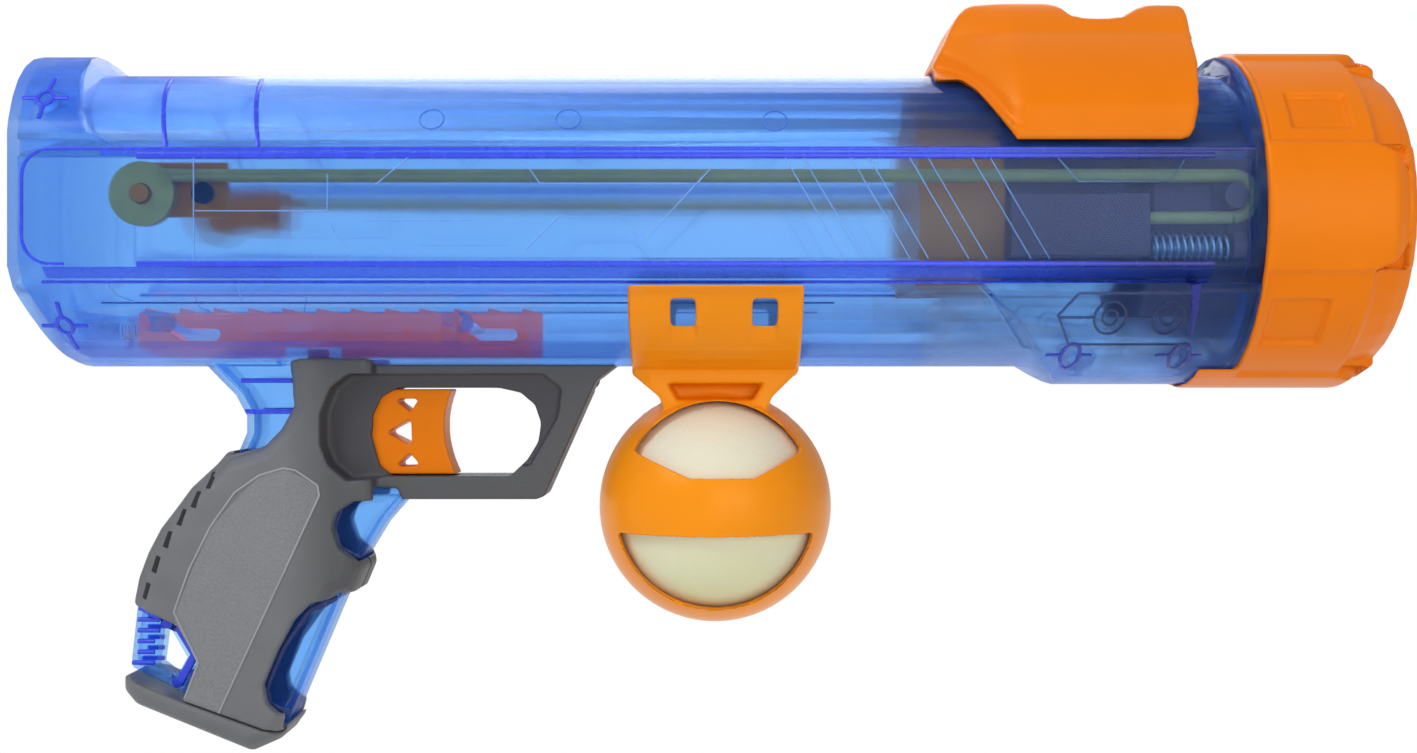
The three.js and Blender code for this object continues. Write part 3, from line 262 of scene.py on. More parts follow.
def dress(node, material, body, edge=0.0, sharp=32):
    """The welded copy of a node in its finish, riding on its body in the node's place."""
    piece = merged_copy(node, node + "_dressed", sharp, edge)
    piece.data.materials.append(material)
    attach(piece, body)
    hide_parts(node)
    return piece


def clear_blue():
    """Tinted see-through plastic, softly frosted. A share of blue haze grows towards the edges, and an open
    share lets lamp light through to the pieces behind the wall: more of it in the skirt below the side panel,
    and less above the upper rail, where the tint deepens."""
    finish = Finish("clear_blue_plastic")
    where, (x, _, z) = finish.place()
    cloud = finish.noise(where, scale=0.05, detail=2.0)
    ripple = finish.noise(where, scale=0.35, detail=2.0)
    facing = Value(finish, finish.node("ShaderNodeLayerWeight", None, Blend=0.3).outputs["Facing"])
    edge = facing * facing
    above_rail = ((z - deep_foot - barrel_z) / deep_rise).clamped()
    below_panel = ((panel_foot + barrel_z - z) / foot_rise).clamped()
    behind_flare = ((flare_rear + barrel_x - x) / flare_run).clamped()
    clear = finish.node(
        "ShaderNodeBsdfPrincipled",
        None,
        Base_Color=finish.blend_color(above_rail, finish.mottled(cloud, blue_tint, 0.95, 1.0), deep_tint),
        Roughness=0.2 + ripple * 0.05,
        IOR=1.2,
        Transmission_Weight=1.0,
        Coat_Weight=0.15,
        Coat_Roughness=0.1,
        Normal=finish.bump(ripple, strength=0.06, distance=0.0004),
    )
    through = finish.node("ShaderNodeBsdfTransparent", None, Color=tuple(c ** 0.5 for c in blue_tint))
    opened = open_share + below_panel * behind_flare * skirt_opening - above_rail * deep_closing
    milky = finish.node(
        "ShaderNodeBsdfPrincipled",
        None,
        Base_Color=finish.blend_color(edge, blue_haze, blue_edge),
        Roughness=0.3,
        IOR=1.46,
    )
    share = haze_share + edge * edge_share + (cloud - 0.5) * 0.03
    return finish.surface(finish.blend_shader(share, finish.blend_shader(opened, clear, through), milky))


def loop_form(places):
    """The wrist loop as a slim bar in a thicker frame: |y| of its side faces goes from the bar's to the
    frame's as x goes from one to the other."""
    x, y, z = places.T
    on_loop = (np.abs(y) > loop_skin) & (x < loop_front) & (z > loop_foot) & (z < loop_top)
    thickness = np.interp(x, (bar_front, loop_frame_rear), (bar_thickness, loop_frame_thickness))
    return np.column_stack([x, np.where(on_loop, np.sign(y) * thickness, y), z])


casing_blue = clear_blue()
casings = {}
for side in ("right", "left"):
    casings[side] = dress(f"casing_{side}", casing_blue, "root").data
    formed(casings[side], loop_form)


# Lines of the casing: rails, ribs, screw posts, a badge's raised edge and thin outlines, moulded with each
# half. A profile is carried along paths of (x, z) places in mm, over the places where rays from the side meet
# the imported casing, or the dressed one at the wrist loop.
ray_start, line_step, line_sharp = 60, 1.5, 50
line_profile = np.array([(-0.5, -0.35), (-0.42, 0.6), (-0.2, 1.0), (0.2, 1.0), (0.42, 0.6), (0.5, -0.35)])
dark_rear, dark_run, dark_share = 270, 50.0, 0.3

panel_top, panel_low, panel_rear, panel_front = 16.0, -15.4, 8.5, 334
end_round, outline_front, outline_tail = 7.5, 345, 4
rails = [[(40, 14.2), (panel_front, 14.2)], [(40, panel_low), (panel_front, panel_low)]]
rail_band = [(30, 15.2), (panel_front, 15.2)]
skirt_line = [(12, -20.2), (panel_front, -20.2)]
skirt_band = [(14, -17.9), (panel_front, -17.9)]
groove_line = [(27, -25.8), (231, -25.8)]
hoops = [[(46.5, 17.2), (40.4, 40)], [(72, 17.2), (66.7, 40)]]
tang_ribs = [[(59, -47.4), (74, -47.4)], [(60, -56.5), (74, -56.5)]]
post_radius, post_rib = 2.1, 6.4
posts = [(12.5, 31.0), (14.5, -32.0)]
front_post_radius, front_post_tall = 2.6, 1.3
front_rib_rise, front_rib_rear, front_rib_front = 0.3, 7, 6
front_posts = [(298.5, -40.5), (329.5, -40.5)]
badge = [(331, -23.5), (297.5, -23.5), (292.5, -29.5), (297, -37.3), (331, -37.3)]
badge_rear, eye_z, eyes_x, eye_radius, pupil_radius = 293, -30, (307, 323), 4.4, 2.1
flare_line = [(270.5, -21), (275, -25), (279.5, -31), (285.5, -37.5), (290, -39)]
ejectors = [(119, 25.5), (157, 25.5), (214.5, 25)]
ejector_radius, ejector_tall = 3.4, 0.9
spike = [(329, -19.5), (330.5, -34.5)]
stripes_x = (216, 221, 234, 239, 250, 255, 267, 272)
stripe_lean, stripe_top, stripe_foot = 17, 15, -14
outlines = [
    [(146, 12), (150, 6.5), (193, 6.5), (197, 11)],
    [(146, -11.5), (155, -2.5), (172, -2.5), (178, -9.5)],
    [(179, -8.5), (195, 9)],
    [(102, -3.5), (131, -3.5)],
    [(105, 6), (116, 15.2)],
    [(56, -1), (92, -1), (92, 9)],
    [(93, -4), (93.5, -7), (98.5, -12.5)],
    [(55.5, 14), (55.5, -14.6)],
    [(30, -21), (32, -24), (36, -25.5)],
    [(66, -21), (66, -25.3)],
    [(290, 15), (297, 7), (322, 7), (326, 13)],
]
loop_frame = [
    (25.5, -114), (32, -116.5), (40.2, -120.7), (44.7, -128), (40.2, -136.3), (36.3, -137.8), (25.5, -133.4),
]
loop_ribs = [[(24.8, z), (33, z)] for z in (-118.5, -121.7, -124.9, -128.1, -131.3)]
window_edges = [
    [(88.5, -83.5), (86, -90.3), (87.8, -96.2), (93, -99.6)],
    [(88, -111), (79, -114.8), (71.2, -125.6), (66.3, -137.3), (67.2, -142.1), (72.5, -145)],
]


def on_skin(node, side, skin=None):
    """A function from a place in the barrel's frame, mm, to the point and normal of a node's side skin
    there."""
    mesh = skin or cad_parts[f"{node}_{side}"].data
    tree = BVHTree.FromPolygons([v.co for v in mesh.vertices], [tuple(p.vertices) for p in mesh.polygons])
    outward = -1 if side == "right" else 1

    def find(x, z):
        """The first hit of a ray that comes in from the side at x and z."""
        start = Vector(((x + barrel_x) * MM, outward * ray_start * MM, (z + barrel_z) * MM))
        point, normal, _, _ = tree.ray_cast(start, Vector((0, -outward, 0)))
        return point, normal

    return find


def stepped(path):
    """A path of (x, z) corners in short even steps that stop at each corner too."""
    corners = np.array(path, float)
    along = np.concatenate([[0], np.cumsum(np.linalg.norm(np.diff(corners, axis=0), axis=1))])
    count = max(2, int(along[-1] / line_step) + 1)
    places = np.union1d(np.round(np.linspace(0, along[-1], count), 4), np.round(along, 4))
    return np.column_stack([np.interp(places, along, column) for column in corners.T])


def unit(rows):
    """Each row divided by its length."""
    return rows / np.maximum(np.linalg.norm(rows, axis=1, keepdims=True), 1e-12)


def ring_faces(rings, around, first):
    """Quads between rings of points, ring after ring from the point numbered first, and a face over each
    end."""
    ring, turn = np.meshgrid(np.arange(rings - 1) * around + first, np.arange(around), indexing="ij")
    here, beside = ring + turn, ring + (turn + 1) % around
    quads = np.stack([here, beside, beside + around, here + around], axis=-1).reshape(-1, 4)
    last = first + (rings - 1) * around
    return quads.tolist() + [list(range(first + around - 1, first - 1, -1)), list(range(last, last + around))]


def closed_piece(name, verts, faces, sharp, material):
    """A new object with its faces turned outward, smooth but for edges steeper than sharp degrees."""
    mesh = bpy.data.meshes.new(name)
    mesh.from_pydata(verts, [], faces)
    made = bmesh.new()
    made.from_mesh(mesh)
    bmesh.ops.recalc_face_normals(made, faces=made.faces)
    made.to_mesh(mesh)
    made.free()
    mesh.polygons.foreach_set("use_smooth", [True] * len(mesh.polygons))
    mesh.set_sharp_from_angle(angle=math.radians(sharp))
    mesh.materials.append(material)
    piece = bpy.data.objects.new(name, mesh)
    bpy.context.scene.collection.objects.link(piece)
    return piece


def ridges(name, side, paths, width, height, material, node="casing", skin=None):
    """Low rounded ridges on a node's side skin, one closed strip for each path. Each point is a point of the
    skin, plus the profile's share of the width across the path and of the height along the skin's normal."""
    find = on_skin(node, side, skin)
    rear_width, front_width = width if isinstance(width, tuple) else (width, width)
    aside, lift = line_profile[:, :1], line_profile[:, 1:]
    lift = np.where(lift > 0, lift * height, lift)
    verts, faces = [], []
    for path in paths:
        found = [hit for hit in (find(x, z) for x, z in stepped(path)) if hit[0] is not None]
        if len(found) < 2:
            continue
        points, normals = (np.array([tuple(row) for row in rows]) for rows in zip(*found))
        ahead, behind = np.vstack([points[1:], points[-1:]]), np.vstack([points[:1], points[:-1]])
        if np.allclose(path[0], path[-1]):
            ahead[[0, -1]], behind[[0, -1]] = points[1], points[-2]
        across = unit(np.cross(unit(ahead - behind), normals))
        broad = np.linspace(rear_width, front_width, len(points))[:, None, None]
        strip = points[:, None] + (across[:, None] * aside * broad + normals[:, None] * lift) * MM
        faces += ring_faces(len(points), len(line_profile), sum(map(len, verts)))
        verts.append(strip.reshape(-1, 3))
    piece = closed_piece(f"{name}_{side}", np.concatenate(verts), faces, line_sharp, material)
    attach(piece, "root")


def arc(x, z, radius, start, end, count, tall=1.0):
    """Points about (x, z) from one angle to another, in degrees: radius times the cosine and tall times the
    sine."""
    turns = np.radians(np.linspace(start, end, count + 1))
    return list(zip(x + radius * np.cos(turns), z + radius * tall * np.sin(turns)))


def ring_path(x, z, radius, tall=1.0):
    """A closed round path about a place on the side."""
    return arc(x, z, radius, 0, 360, 20, tall)


def line_blue(name, color, opened):
    """The plastic of a line: seen edge on it is deep blue, and a share of it stays see-through. It darkens
    towards the muzzle, where the dark sleeve stands behind it."""
    finish = Finish(name)
    where, (x, _, _) = finish.place()
    cloud = finish.noise(where, scale=0.2, detail=2.0)
    at_muzzle = ((x - dark_rear - barrel_x) / dark_run).clamped()
    solid = finish.node(
        "ShaderNodeBsdfPrincipled",
        None,
        Base_Color=finish.blend_color(
            at_muzzle, finish.mottled(cloud, color, 0.9, 1.1), tuple(c * dark_share for c in color),
        ),
        Roughness=0.22 + cloud * 0.1,
    )
    through = finish.node("ShaderNodeBsdfTransparent", None, Color=(0.75, 0.85, 1.0))
    return finish.surface(finish.blend_shader(opened, solid, through))


rail_blue = line_blue("rail_blue", (0.035, 0.07, 0.85), 0.15)
pale_blue = line_blue("pale_blue", (0.30, 0.56, 1.0), 0.55)
deep_blue = line_blue("deep_blue", (0.02, 0.05, 0.42), 0.3)
badge_blue = line_blue("badge_blue", (0.07, 0.13, 0.36), 0.35)
band_blue = line_blue("band_blue", (0.05, 0.13, 0.92), 0.5)
faint_blue = line_blue("faint_blue", (0.10, 0.26, 0.80), 0.5)
navy_blue = line_blue("navy_blue", (0.008, 0.022, 0.14), 0.1)

end_x = panel_rear + end_round
panel_outline = [(outline_front, panel_top)]
panel_outline += arc(end_x, panel_top - end_round, end_round, 90, 180, 6)
panel_outline += arc(end_x, panel_low + end_round, end_round, 180, 270, 6)
panel_outline += [(end_x + outline_tail, panel_low)]
post_lines = [ring_path(x, z, post_radius) for x, z in posts]
for x, z in posts:
    for dx, dz in ((1, 0), (-1, 0), (0, 1), (0, -1)):
        post_lines.append([(x + dx * reach, z + dz * reach) for reach in (post_radius, post_rib)])
for x, z in front_posts:
    rib_z = z + front_rib_rise
    post_lines.append(ring_path(x, z, front_post_radius, front_post_tall))
    post_lines.append([(x - front_rib_rear, rib_z), (x - front_post_radius, rib_z)])
    post_lines.append([(x + front_post_radius, rib_z), (x + front_rib_front, rib_z)])
badge_lines = [badge]
for start, x in zip((badge_rear, eyes_x[0] + eye_radius), eyes_x):
    badge_lines.append([(start, eye_z), (x - eye_radius, eye_z)])
for x in eyes_x:
    badge_lines += [ring_path(x, eye_z, eye_radius), ring_path(x, eye_z, pupil_radius)]
ejector_lines = [ring_path(x, z, ejector_radius, ejector_tall) for x, z in ejectors]
stripes = [[(x, stripe_top), (x + stripe_lean, stripe_foot)] for x in stripes_x]

for side in ("right", "left"):
    dressed = casings[side]
    ridges("panel_line", side, [panel_outline], 0.9, 0.15, rail_blue)
    ridges("rail", side, rails, 1.6, 0.3, rail_blue)
    ridges("skirt_line", side, [skirt_line], 0.9, 0.2, rail_blue)
    ridges("groove_line", side, [groove_line], 0.4, 0.08, deep_blue)
    ridges("hoop", side, hoops, 1.3, 0.2, rail_blue)
    ridges("post_mark", side, post_lines, 1.2, 0.15, rail_blue)
    ridges("outline", side, outlines, 0.35, 0.12, pale_blue)
    ridges("stripe", side, stripes, 0.35, 0.12, pale_blue)
    ridges("badge", side, badge_lines, 0.7, 0.25, badge_blue)
    ridges("flare_line", side, [flare_line], 0.7, 0.2, pale_blue)
    ridges("ejector", side, ejector_lines, 0.35, 0.1, faint_blue)
    ridges("spike", side, [spike], (3.6, 0.7), 0.3, rail_blue)
    ridges("rail_band", side, [rail_band], 2.2, 0.08, band_blue)
    ridges("skirt_band", side, [skirt_band], 4.6, 0.1, band_blue)
    ridges("tang_rib", side, tang_ribs, 1.4, 0.25, rail_blue)
    ridges("loop_frame", side, [loop_frame], 2.6, 0.5, rail_blue, skin=dressed)
    ridges("loop_rib", side, loop_ribs, 1.4, 0.7, rail_blue, skin=dressed)
    ridges("window_edge", side, window_edges, 1.8, 0.2, navy_blue)


# Butt cap: the grip's flat-bottomed end, moulded in dark grey nylon with a fine spark-eroded grain. Its
# moulded edges turn round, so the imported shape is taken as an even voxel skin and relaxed.
grip_color = (0.148, 0.150, 0.156)


def grained_grey(name, color, grain, depth):
    """Dull nylon: a colour between 0.85 and 1.15 of itself, with a bump of fine noise at a scale and a
    depth."""
    finish = Finish(name)
    where, _ = finish.place()
    fine = finish.noise(where, scale=grain, detail=2.0, roughness=0.7)
    broad = finish.noise(where, scale=0.08, detail=3.0)
    shader = finish.node(
        "ShaderNodeBsdfPrincipled",
        None,
        Base_Color=finish.mottled(broad, color, 0.85, 1.15),
        Roughness=0.42 + fine * 0.18,
        Normal=finish.bump(fine, strength=depth, distance=0.0003),
    )
    return finish.surface(shader)


def softened(node, material, body, voxel, rounds, form=None):
    """A node's shape as an even skin of voxel mm, relaxed over some rounds so that its moulded edges turn
    round, in the node's place. A form moves the skin's points."""
    piece = merged_copy(node, node + "_moulded", 180)
    remesh = piece.modifiers.new("skin", "REMESH")
    remesh.mode = "VOXEL"
    remesh.voxel_size = voxel * MM
    remesh.use_smooth_shade = True
    relax = piece.modifiers.new("relax", "SMOOTH")
    relax.factor = 0.5
    relax.iterations = rounds
    bpy.context.view_layer.update()
    shaped = bpy.data.meshes.new_from_object(piece.evaluated_get(bpy.context.evaluated_depsgraph_get()))
    piece.modifiers.clear()
    piece.data = shaped
    if form:
        formed(shaped, form)
    shaped.materials.clear()
    shaped.materials.append(material)
    shaped.polygons.foreach_set("use_smooth", [True] * len(shaped.polygons))
    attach(piece, body)
    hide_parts(node)
    return piece


cover_grey = grained_grey("grey_nylon", grip_color, 3.0, 0.25)
softened("butt_cap", cover_grey, "root", voxel=0.8, rounds=4)


# Grip covers: one grey nylon moulding a side, screwed over the grip's core, with half of the trigger guard.
# A raised edge frames a panel of coarser grain and slots run down the backstrap. The edge's light grey is a
# painted highlight, the slots are black strips of painted shade, and the guard and the sunk faces get a
# painted shade.
# Painted shade: near-black for the sunk faces, and a darker share of the grey for the guard.
painted_shade_color = (0.045, 0.042, 0.05)
sunk_depth, sunk_rear = 7.9, 20
guard_rear, guard_run, guard_painted_shade, speckle_tone = 72, 15.0, 0.48, 1.7
panel_edge = [
    (43.3, -141.1), (47.9, -129.5), (40.9, -114.8), (41.2, -113.4), (45.2, -102.2), (51.3, -89.9),
    (58.4, -79.9), (65.5, -74.9), (72.5, -72.8), (76, -73.4), (82.5, -77.8), (83, -80.8), (53.2, -145.2),
]
panel_corners = [panel_edge[i] for i in (0, 2, 5, 7, 8, 10, 11, 12)]
slot_places = [(49.5, -76.5), (45.2, -82.0), (41.0, -87.2), (37.0, -93.6), (33.6, -100.8), (30.7, -108.6)]
slot_foot, slot_top = np.array([0.9, -2.3]), np.array([2.3, 2.3])
strap_z = (-116, -112.4, -105.1, -97.8, -90.5, -84.4, -78.8, -71.8, -66)
strap_x = (27.0, 27.1, 28.5, 31.2, 35.0, 39.7, 43.8, 51.4, 56.0)
strap_width, strap_drop, strap_top, strap_foot, strap_fade = 15.0, 3.4, -64, -120, 6
cover_skin, cover_least = 12.5, 12.2


def grip_nylon():
    """Grey nylon with a coarser grain on the panel: a point is inside where it lies on the inner side of
    every line from corner to corner. The guard ahead is darkened by a painted shade, and the sunk faces near
    the middle plane take a near-black painted shade."""
    finish = Finish("grip_nylon")
    where, (x, y, z) = finish.place()
    fine = finish.noise(where, scale=3.0, detail=2.0, roughness=0.7)
    coarse = finish.noise(where, scale=1.3, detail=2.0, roughness=0.6)
    broad = finish.noise(where, scale=0.08, detail=3.0)
    inside = None
    for (x0, z0), (x1, z1) in zip(panel_corners, panel_corners[1:] + panel_corners[:1]):
        side = (z - (z0 + barrel_z)) * (x1 - x0) - (x - (x0 + barrel_x)) * (z1 - z0)
        within = side < 0
        inside = within if inside is None else inside * within
    # Painted shade on the sunk faces near the middle plane.
    sunk = (abs(y) < sunk_depth) * (x > sunk_rear)
    tone = finish.mottled(broad, grip_color, 0.85, 1.15)
    # Painted shade: the guard ahead darkens towards a share of the grey.
    forward = ((x - guard_rear - barrel_x) / guard_run).clamped()
    tone = finish.blend_color(forward, tone, tuple(c * guard_painted_shade for c in grip_color))
    tone = finish.blend_color(inside * coarse, tone, tuple(c * speckle_tone for c in grip_color))
    grain = fine * 0.5 + inside * coarse * 1.6
    shader = finish.node(
        "ShaderNodeBsdfPrincipled",
        None,
        Base_Color=finish.blend_color(sunk, tone, painted_shade_color),
        Roughness=0.38 + fine * 0.16,
        Normal=finish.bump(grain, strength=0.6, distance=0.0004),
    )
    return finish.surface(shader)


def eased(value):
    """0 below 0, 1 above 1, and three squares less two cubes between."""
    t = np.clip(value, 0, 1)
    return t * t * (3 - 2 * t)


def grip_form(places):
    """The cover's side falls away to the backstrap on a quarter ellipse: one less the root of one less the
    square of how far in from the strap's front a point lies, times the drop."""
    x, y, z = places.T
    inward = np.clip(1 - (x - np.interp(z, strap_z, strap_x)) / strap_width, 0, 1)
    on_strap = eased((strap_top - z) / strap_fade) * eased((z - strap_foot) / strap_fade)
    drop = strap_drop * (1 - np.sqrt(1 - inward ** 2)) * on_strap
    lowered = y - np.sign(y) * np.minimum(drop, np.abs(y) - cover_least)
    return np.column_stack([x, np.where(np.abs(y) > cover_skin, lowered, y), z])


grip_grey = grip_nylon()
# Painted shade: the slots are drawn as black strips on the skin.
slot_painted_shade = grained_grey("slot_painted_shade", (0.004, 0.004, 0.005), 3.0, 0.1)
# Painted highlight: the panel's raised edge is a light grey.
edge_painted_highlight = grained_grey("edge_painted_highlight", (0.30, 0.305, 0.315), 3.0, 0.1)
slots = [[place + slot_foot, place + slot_top] for place in np.array(slot_places)]
for side in ("right", "left"):
    node = f"grip_cover_{side}"
    cover = softened(node, grip_grey, "root", voxel=0.6, rounds=4, form=grip_form)
    ridges("panel_edge", side, [panel_edge], 0.7, 0.35, edge_painted_highlight, "grip_cover", cover.data)
    ridges("strap_slot", side, slots, 2.1, 0.12, slot_painted_shade, "grip_cover", cover.data)


# Muzzle collar: one orange moulding pushed over the casing's nose, with four D-shaped lugs that run out to
# the front and pockets between them. A pocket's values are degrees about the barrel and places along it.
orange_color = (0.82, 0.19, 0.001)
collar_rear, lug_front, nose_front, collar_radius = 347.3, 388, 391.5, 49.6
body_radius, nose_radius, body_end, nose_run = 48.6, 44.8, 377.0, 2.5
lug_half, lug_round, lug_nose, lug_reach, lug_edge = 18.6, 13, 14, 0.93, 0.1
crest_drop, crest_run = 3.5, 7
pocket_depth, pocket_wall, pocket_end = 1.75, 1.6, 1.4
pockets = [(34.5, 7.5, 355, 372.5), (-41, 9.5, 350, 367.5)]
collar_shell, collar_rear_lip, collar_front_lip, collar_play = 2.6, 1.2, 0.6, 0.02


def orange_plastic(name, color, roughness=0.33, glow=0.0):
    """Glossy plastic with orange highlights: a colour between 0.93 and 1.06 of itself, and a faint bump. A
    glow above 0 adds a painted glow in that colour.
    """
    finish = Finish(name)
    where, _ = finish.place()
    broad = finish.noise(where, scale=0.03, detail=2.0)
    fine = finish.noise(where, scale=1.6, detail=3.0)
    shader = finish.node(
        "ShaderNodeBsdfPrincipled",
        None,
        Base_Color=finish.mottled(broad, color, 0.93, 1.06),
        Roughness=roughness + fine * 0.1,
        Specular_IOR_Level=0.35,
        Specular_Tint=(1.0, 0.7, 0.35),
        Normal=finish.bump(fine, strength=0.05, distance=0.0003),
        # Emission is a painted glow in the plastic's own colour, where glow is above 0.
        Emission_Color=color,
        Emission_Strength=glow,
    )
    return finish.surface(shader)


def in_pocket(turn, x, middle, half, rear, front):
    """1 between two places along the collar and within half of a middle angle, eased to 0 at the walls."""
    across = eased((half - np.abs(turn - middle)) / pocket_wall + 0.5)
    along = eased((x - rear) / pocket_end) * eased((front - x) / pocket_end)
    return across * along


def collar_form(places):
    """The collar's outer radius by angle and place: the body's, plus the lug's crest above it where the reach
    from the lug's middle, in shares of its round, is under 1, less the depth of a pocket."""
    x, y, z = places.T
    radius = np.hypot(y, z)
    turn = np.degrees(np.arctan2(z, np.abs(y)))
    from_lug = np.radians(np.abs((turn + 45) % 90 - 45)) * collar_radius
    aside = np.clip(from_lug - (lug_half - lug_round), 0, None) / lug_round
    ahead = np.clip(x - (lug_front - lug_nose), 0, None) / lug_nose
    lug = 1 - eased((np.hypot(aside, ahead) - lug_reach) / lug_edge)
    body = body_radius - (body_radius - nose_radius) * eased((x - body_end) / nose_run)
    crest = collar_radius - crest_drop * eased((x - (lug_front - crest_run)) / crest_run)
    wanted = body + (np.maximum(crest, body) - body) * lug
    wanted = wanted - sum(in_pocket(turn, x, *pocket) for pocket in pockets) * pocket_depth
    on_shell = radius > collar_radius - collar_shell
    outer = on_shell & (x > collar_rear + collar_rear_lip) & (x < nose_front - collar_front_lip)
    new_radius = np.where(outer, np.minimum(wanted, collar_radius - collar_play), radius)
    scale = new_radius / np.maximum(radius, 1e-6)
    return np.column_stack([x, y * scale, z * scale])


orange = orange_plastic("orange_plastic", orange_color)
softened("muzzle_collar", orange, "root", voxel=0.7, rounds=3, form=collar_form)


# Ball holder: one bright orange moulding that clips over the barrel from below, with a cup for the spare
# ball. Its clip has windows with sloping sills and a bevel at the rear, and its neck has a deep recess.
holder_orange = orange_plastic("holder_orange", (0.93, 0.29, 0.006), 0.26)
ball_low, ball_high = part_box("tennis_ball")
ball_centre = np.add(ball_low, ball_high) / 2 / MM - barrel_place
cup_radius, cup_inward, cup_outward, cup_top = 34.6, 0.9, 0.25, 24
recess_half, recess_top, recess_foot, recess_depth = 13.6, -48.4, -52.8, 5.5
recess_slope, recess_side, recess_wall, recess_skin = 0.57, 0.4, 0.8, -9
clip_skin = 44.6
clip_bevel_front, clip_bevel_width, clip_bevel_depth = 178.8, 5.0, 2.0
windows_x, window_foot, sill_foot, sill_half, sill_depth = (188.9, 211.7), -32, -36.8, 3.5, 1.9
sill_play = 0.3


def holder_form(places):
    """The skin near the cup moves onto a sphere about the ball. The recess sinks the neck inside a trapezium,
    and the clip's skin sinks by the larger of the bevel, a line in x, and the sill, a line in z."""
    away = places - ball_centre
    reach = np.linalg.norm(away, axis=1)
    near = (reach > cup_radius - cup_inward) & (reach < cup_radius + cup_outward) & (away[:, 2] < cup_top)
    scale = np.where(near, cup_radius / reach, 1.0)
    x, y, z = (ball_centre + away * scale[:, None]).T
    half = recess_half - (recess_top - z) * recess_slope
    across = eased(half - np.abs(x - ball_centre[0]) + recess_side)
    below, above = eased((recess_top - z) / recess_wall + 0.5), eased((z - recess_foot) / recess_wall + 0.5)
    recess = across * below * above
    y = np.where(y < recess_skin, y + recess * recess_depth, y)
    skin = (z > recess_top) & (y < 0) & (np.hypot(y, z) > clip_skin)
    bevel = clip_bevel_depth * np.clip((clip_bevel_front - x) / clip_bevel_width, 0, 1)
    at_window = np.minimum(np.abs(x - windows_x[0]), np.abs(x - windows_x[1])) < sill_half
    sill = sill_depth * np.clip((z - sill_foot) / (window_foot - sill_foot), 0, 1)
    sunk = np.maximum(bevel, np.where(at_window & (z < window_foot + sill_play), sill, 0))
    return np.column_stack([x, y + np.where(skin, sunk, 0), z])


softened("ball_holder", holder_orange, "root", voxel=0.6, rounds=4, form=holder_form)


# Trigger and ratchet bar: flat orange mouldings that slide between the casing halves. The bar is a brighter
# orange with a painted glow, standing in for the lamp light that the casing's wall holds back.
bar_painted_glow = orange_plastic("bar_painted_glow", (0.95, 0.10, 0.01), glow=0.6)
softened("trigger", orange, "trigger", voxel=0.5, rounds=4)
dress("ratchet_bar", bar_painted_glow, "ratchet")


# Cocking handle and sled carriage: orange mouldings screwed together through the barrel's top slot. The
# handle is a saddle whose sides turn in behind an upright crease, with a valley for a finger on top.
handle_clear, handle_wall, handle_middle = 45.6, 0.6, 4
crease_x, turn_length, turn_depth = 284.5, 24, 0.42
valley_x = (294.5, 296.5, 300.8, 306.7, 315.2, 319.0, 324.0, 326.0)
valley_z = (99, 62.3, 60.1, 57.4, 57.2, 60.7, 62.7, 99)


def handle_form(places):
    """The width of the skin falls by an eased share behind the crease, and stops at the circle that clears
    the barrel. The height is held under the valley's profile."""
    x, y, z = places.T
    z = np.minimum(z, np.interp(x, valley_x, valley_z))
    skin = (np.hypot(y, z) > handle_clear + handle_wall) & (np.abs(y) > handle_middle)
    turned_in = 1 - turn_depth * eased((crease_x - x) / turn_length)
    narrow = y * np.where(skin, turned_in, 1.0)
    least = np.sqrt(np.maximum(handle_clear ** 2 - z ** 2, 0))
    narrow = np.where(skin & (np.abs(narrow) < least), np.sign(y) * np.minimum(np.abs(y), least), narrow)
    return np.column_stack([x, narrow, z])


softened("cocking_handle", orange, "sled", voxel=0.8, rounds=5, form=handle_form)
dress("sled_carriage", orange, "sled", edge=0.3)


# Band hubs: an orange moulded boss on each side of the casing's rear. The disc at the end of a band is
# screwed to it.
for side in ("right", "left"):
    dress(f"band_hub_{side}", orange, "root")


# Dark mouldings behind the casing, in nylon: the muzzle sleeve that the ball is pushed into, the sled's cup
# that throws it, and the front guides of the bands. Their dark grey is made warm by a painted reflection of
# the orange pieces beside them.
# Painted reflection: the warm red in this dark grey stands in for light thrown back by the orange pieces.
dark = grained_grey("dark_nylon_painted_warmth", (0.15, 0.032, 0.03), 2.0, 0.15)
dress("muzzle_sleeve", dark, "root")
dress("ball_cup", dark, "sled", edge=0.3)
for side in ("right", "left"):
    dress(f"band_guide_{side}", dark, "root")


# Elastic bands: one amber latex tube a side, smooth and a little cloudy, from its hub at the rear round the
# guide at the front and back to the sled. Its inner run stretches, so it is swept anew in short rings.
latex_color = (0.62, 0.36, 0.06)
tube_steps, tube_around, tube_sharp = 96, 16, 60


def latex_tube():
    """Latex: a colour between 0.8 and 1.2 of itself, with a bump of the same noise."""
    finish = Finish("latex_tube")
    where, _ = finish.place()
    cloud = finish.noise(where, scale=0.12, detail=3.0)
    shader = finish.node(
        "ShaderNodeBsdfPrincipled",
        None,
        Base_Color=finish.mottled(cloud, latex_color, 0.8, 1.2),
        Roughness=0.4 + cloud * 0.15,
        Normal=finish.bump(cloud, strength=0.1, distance=0.0003),
    )
    return finish.surface(shader)


latex = latex_tube()


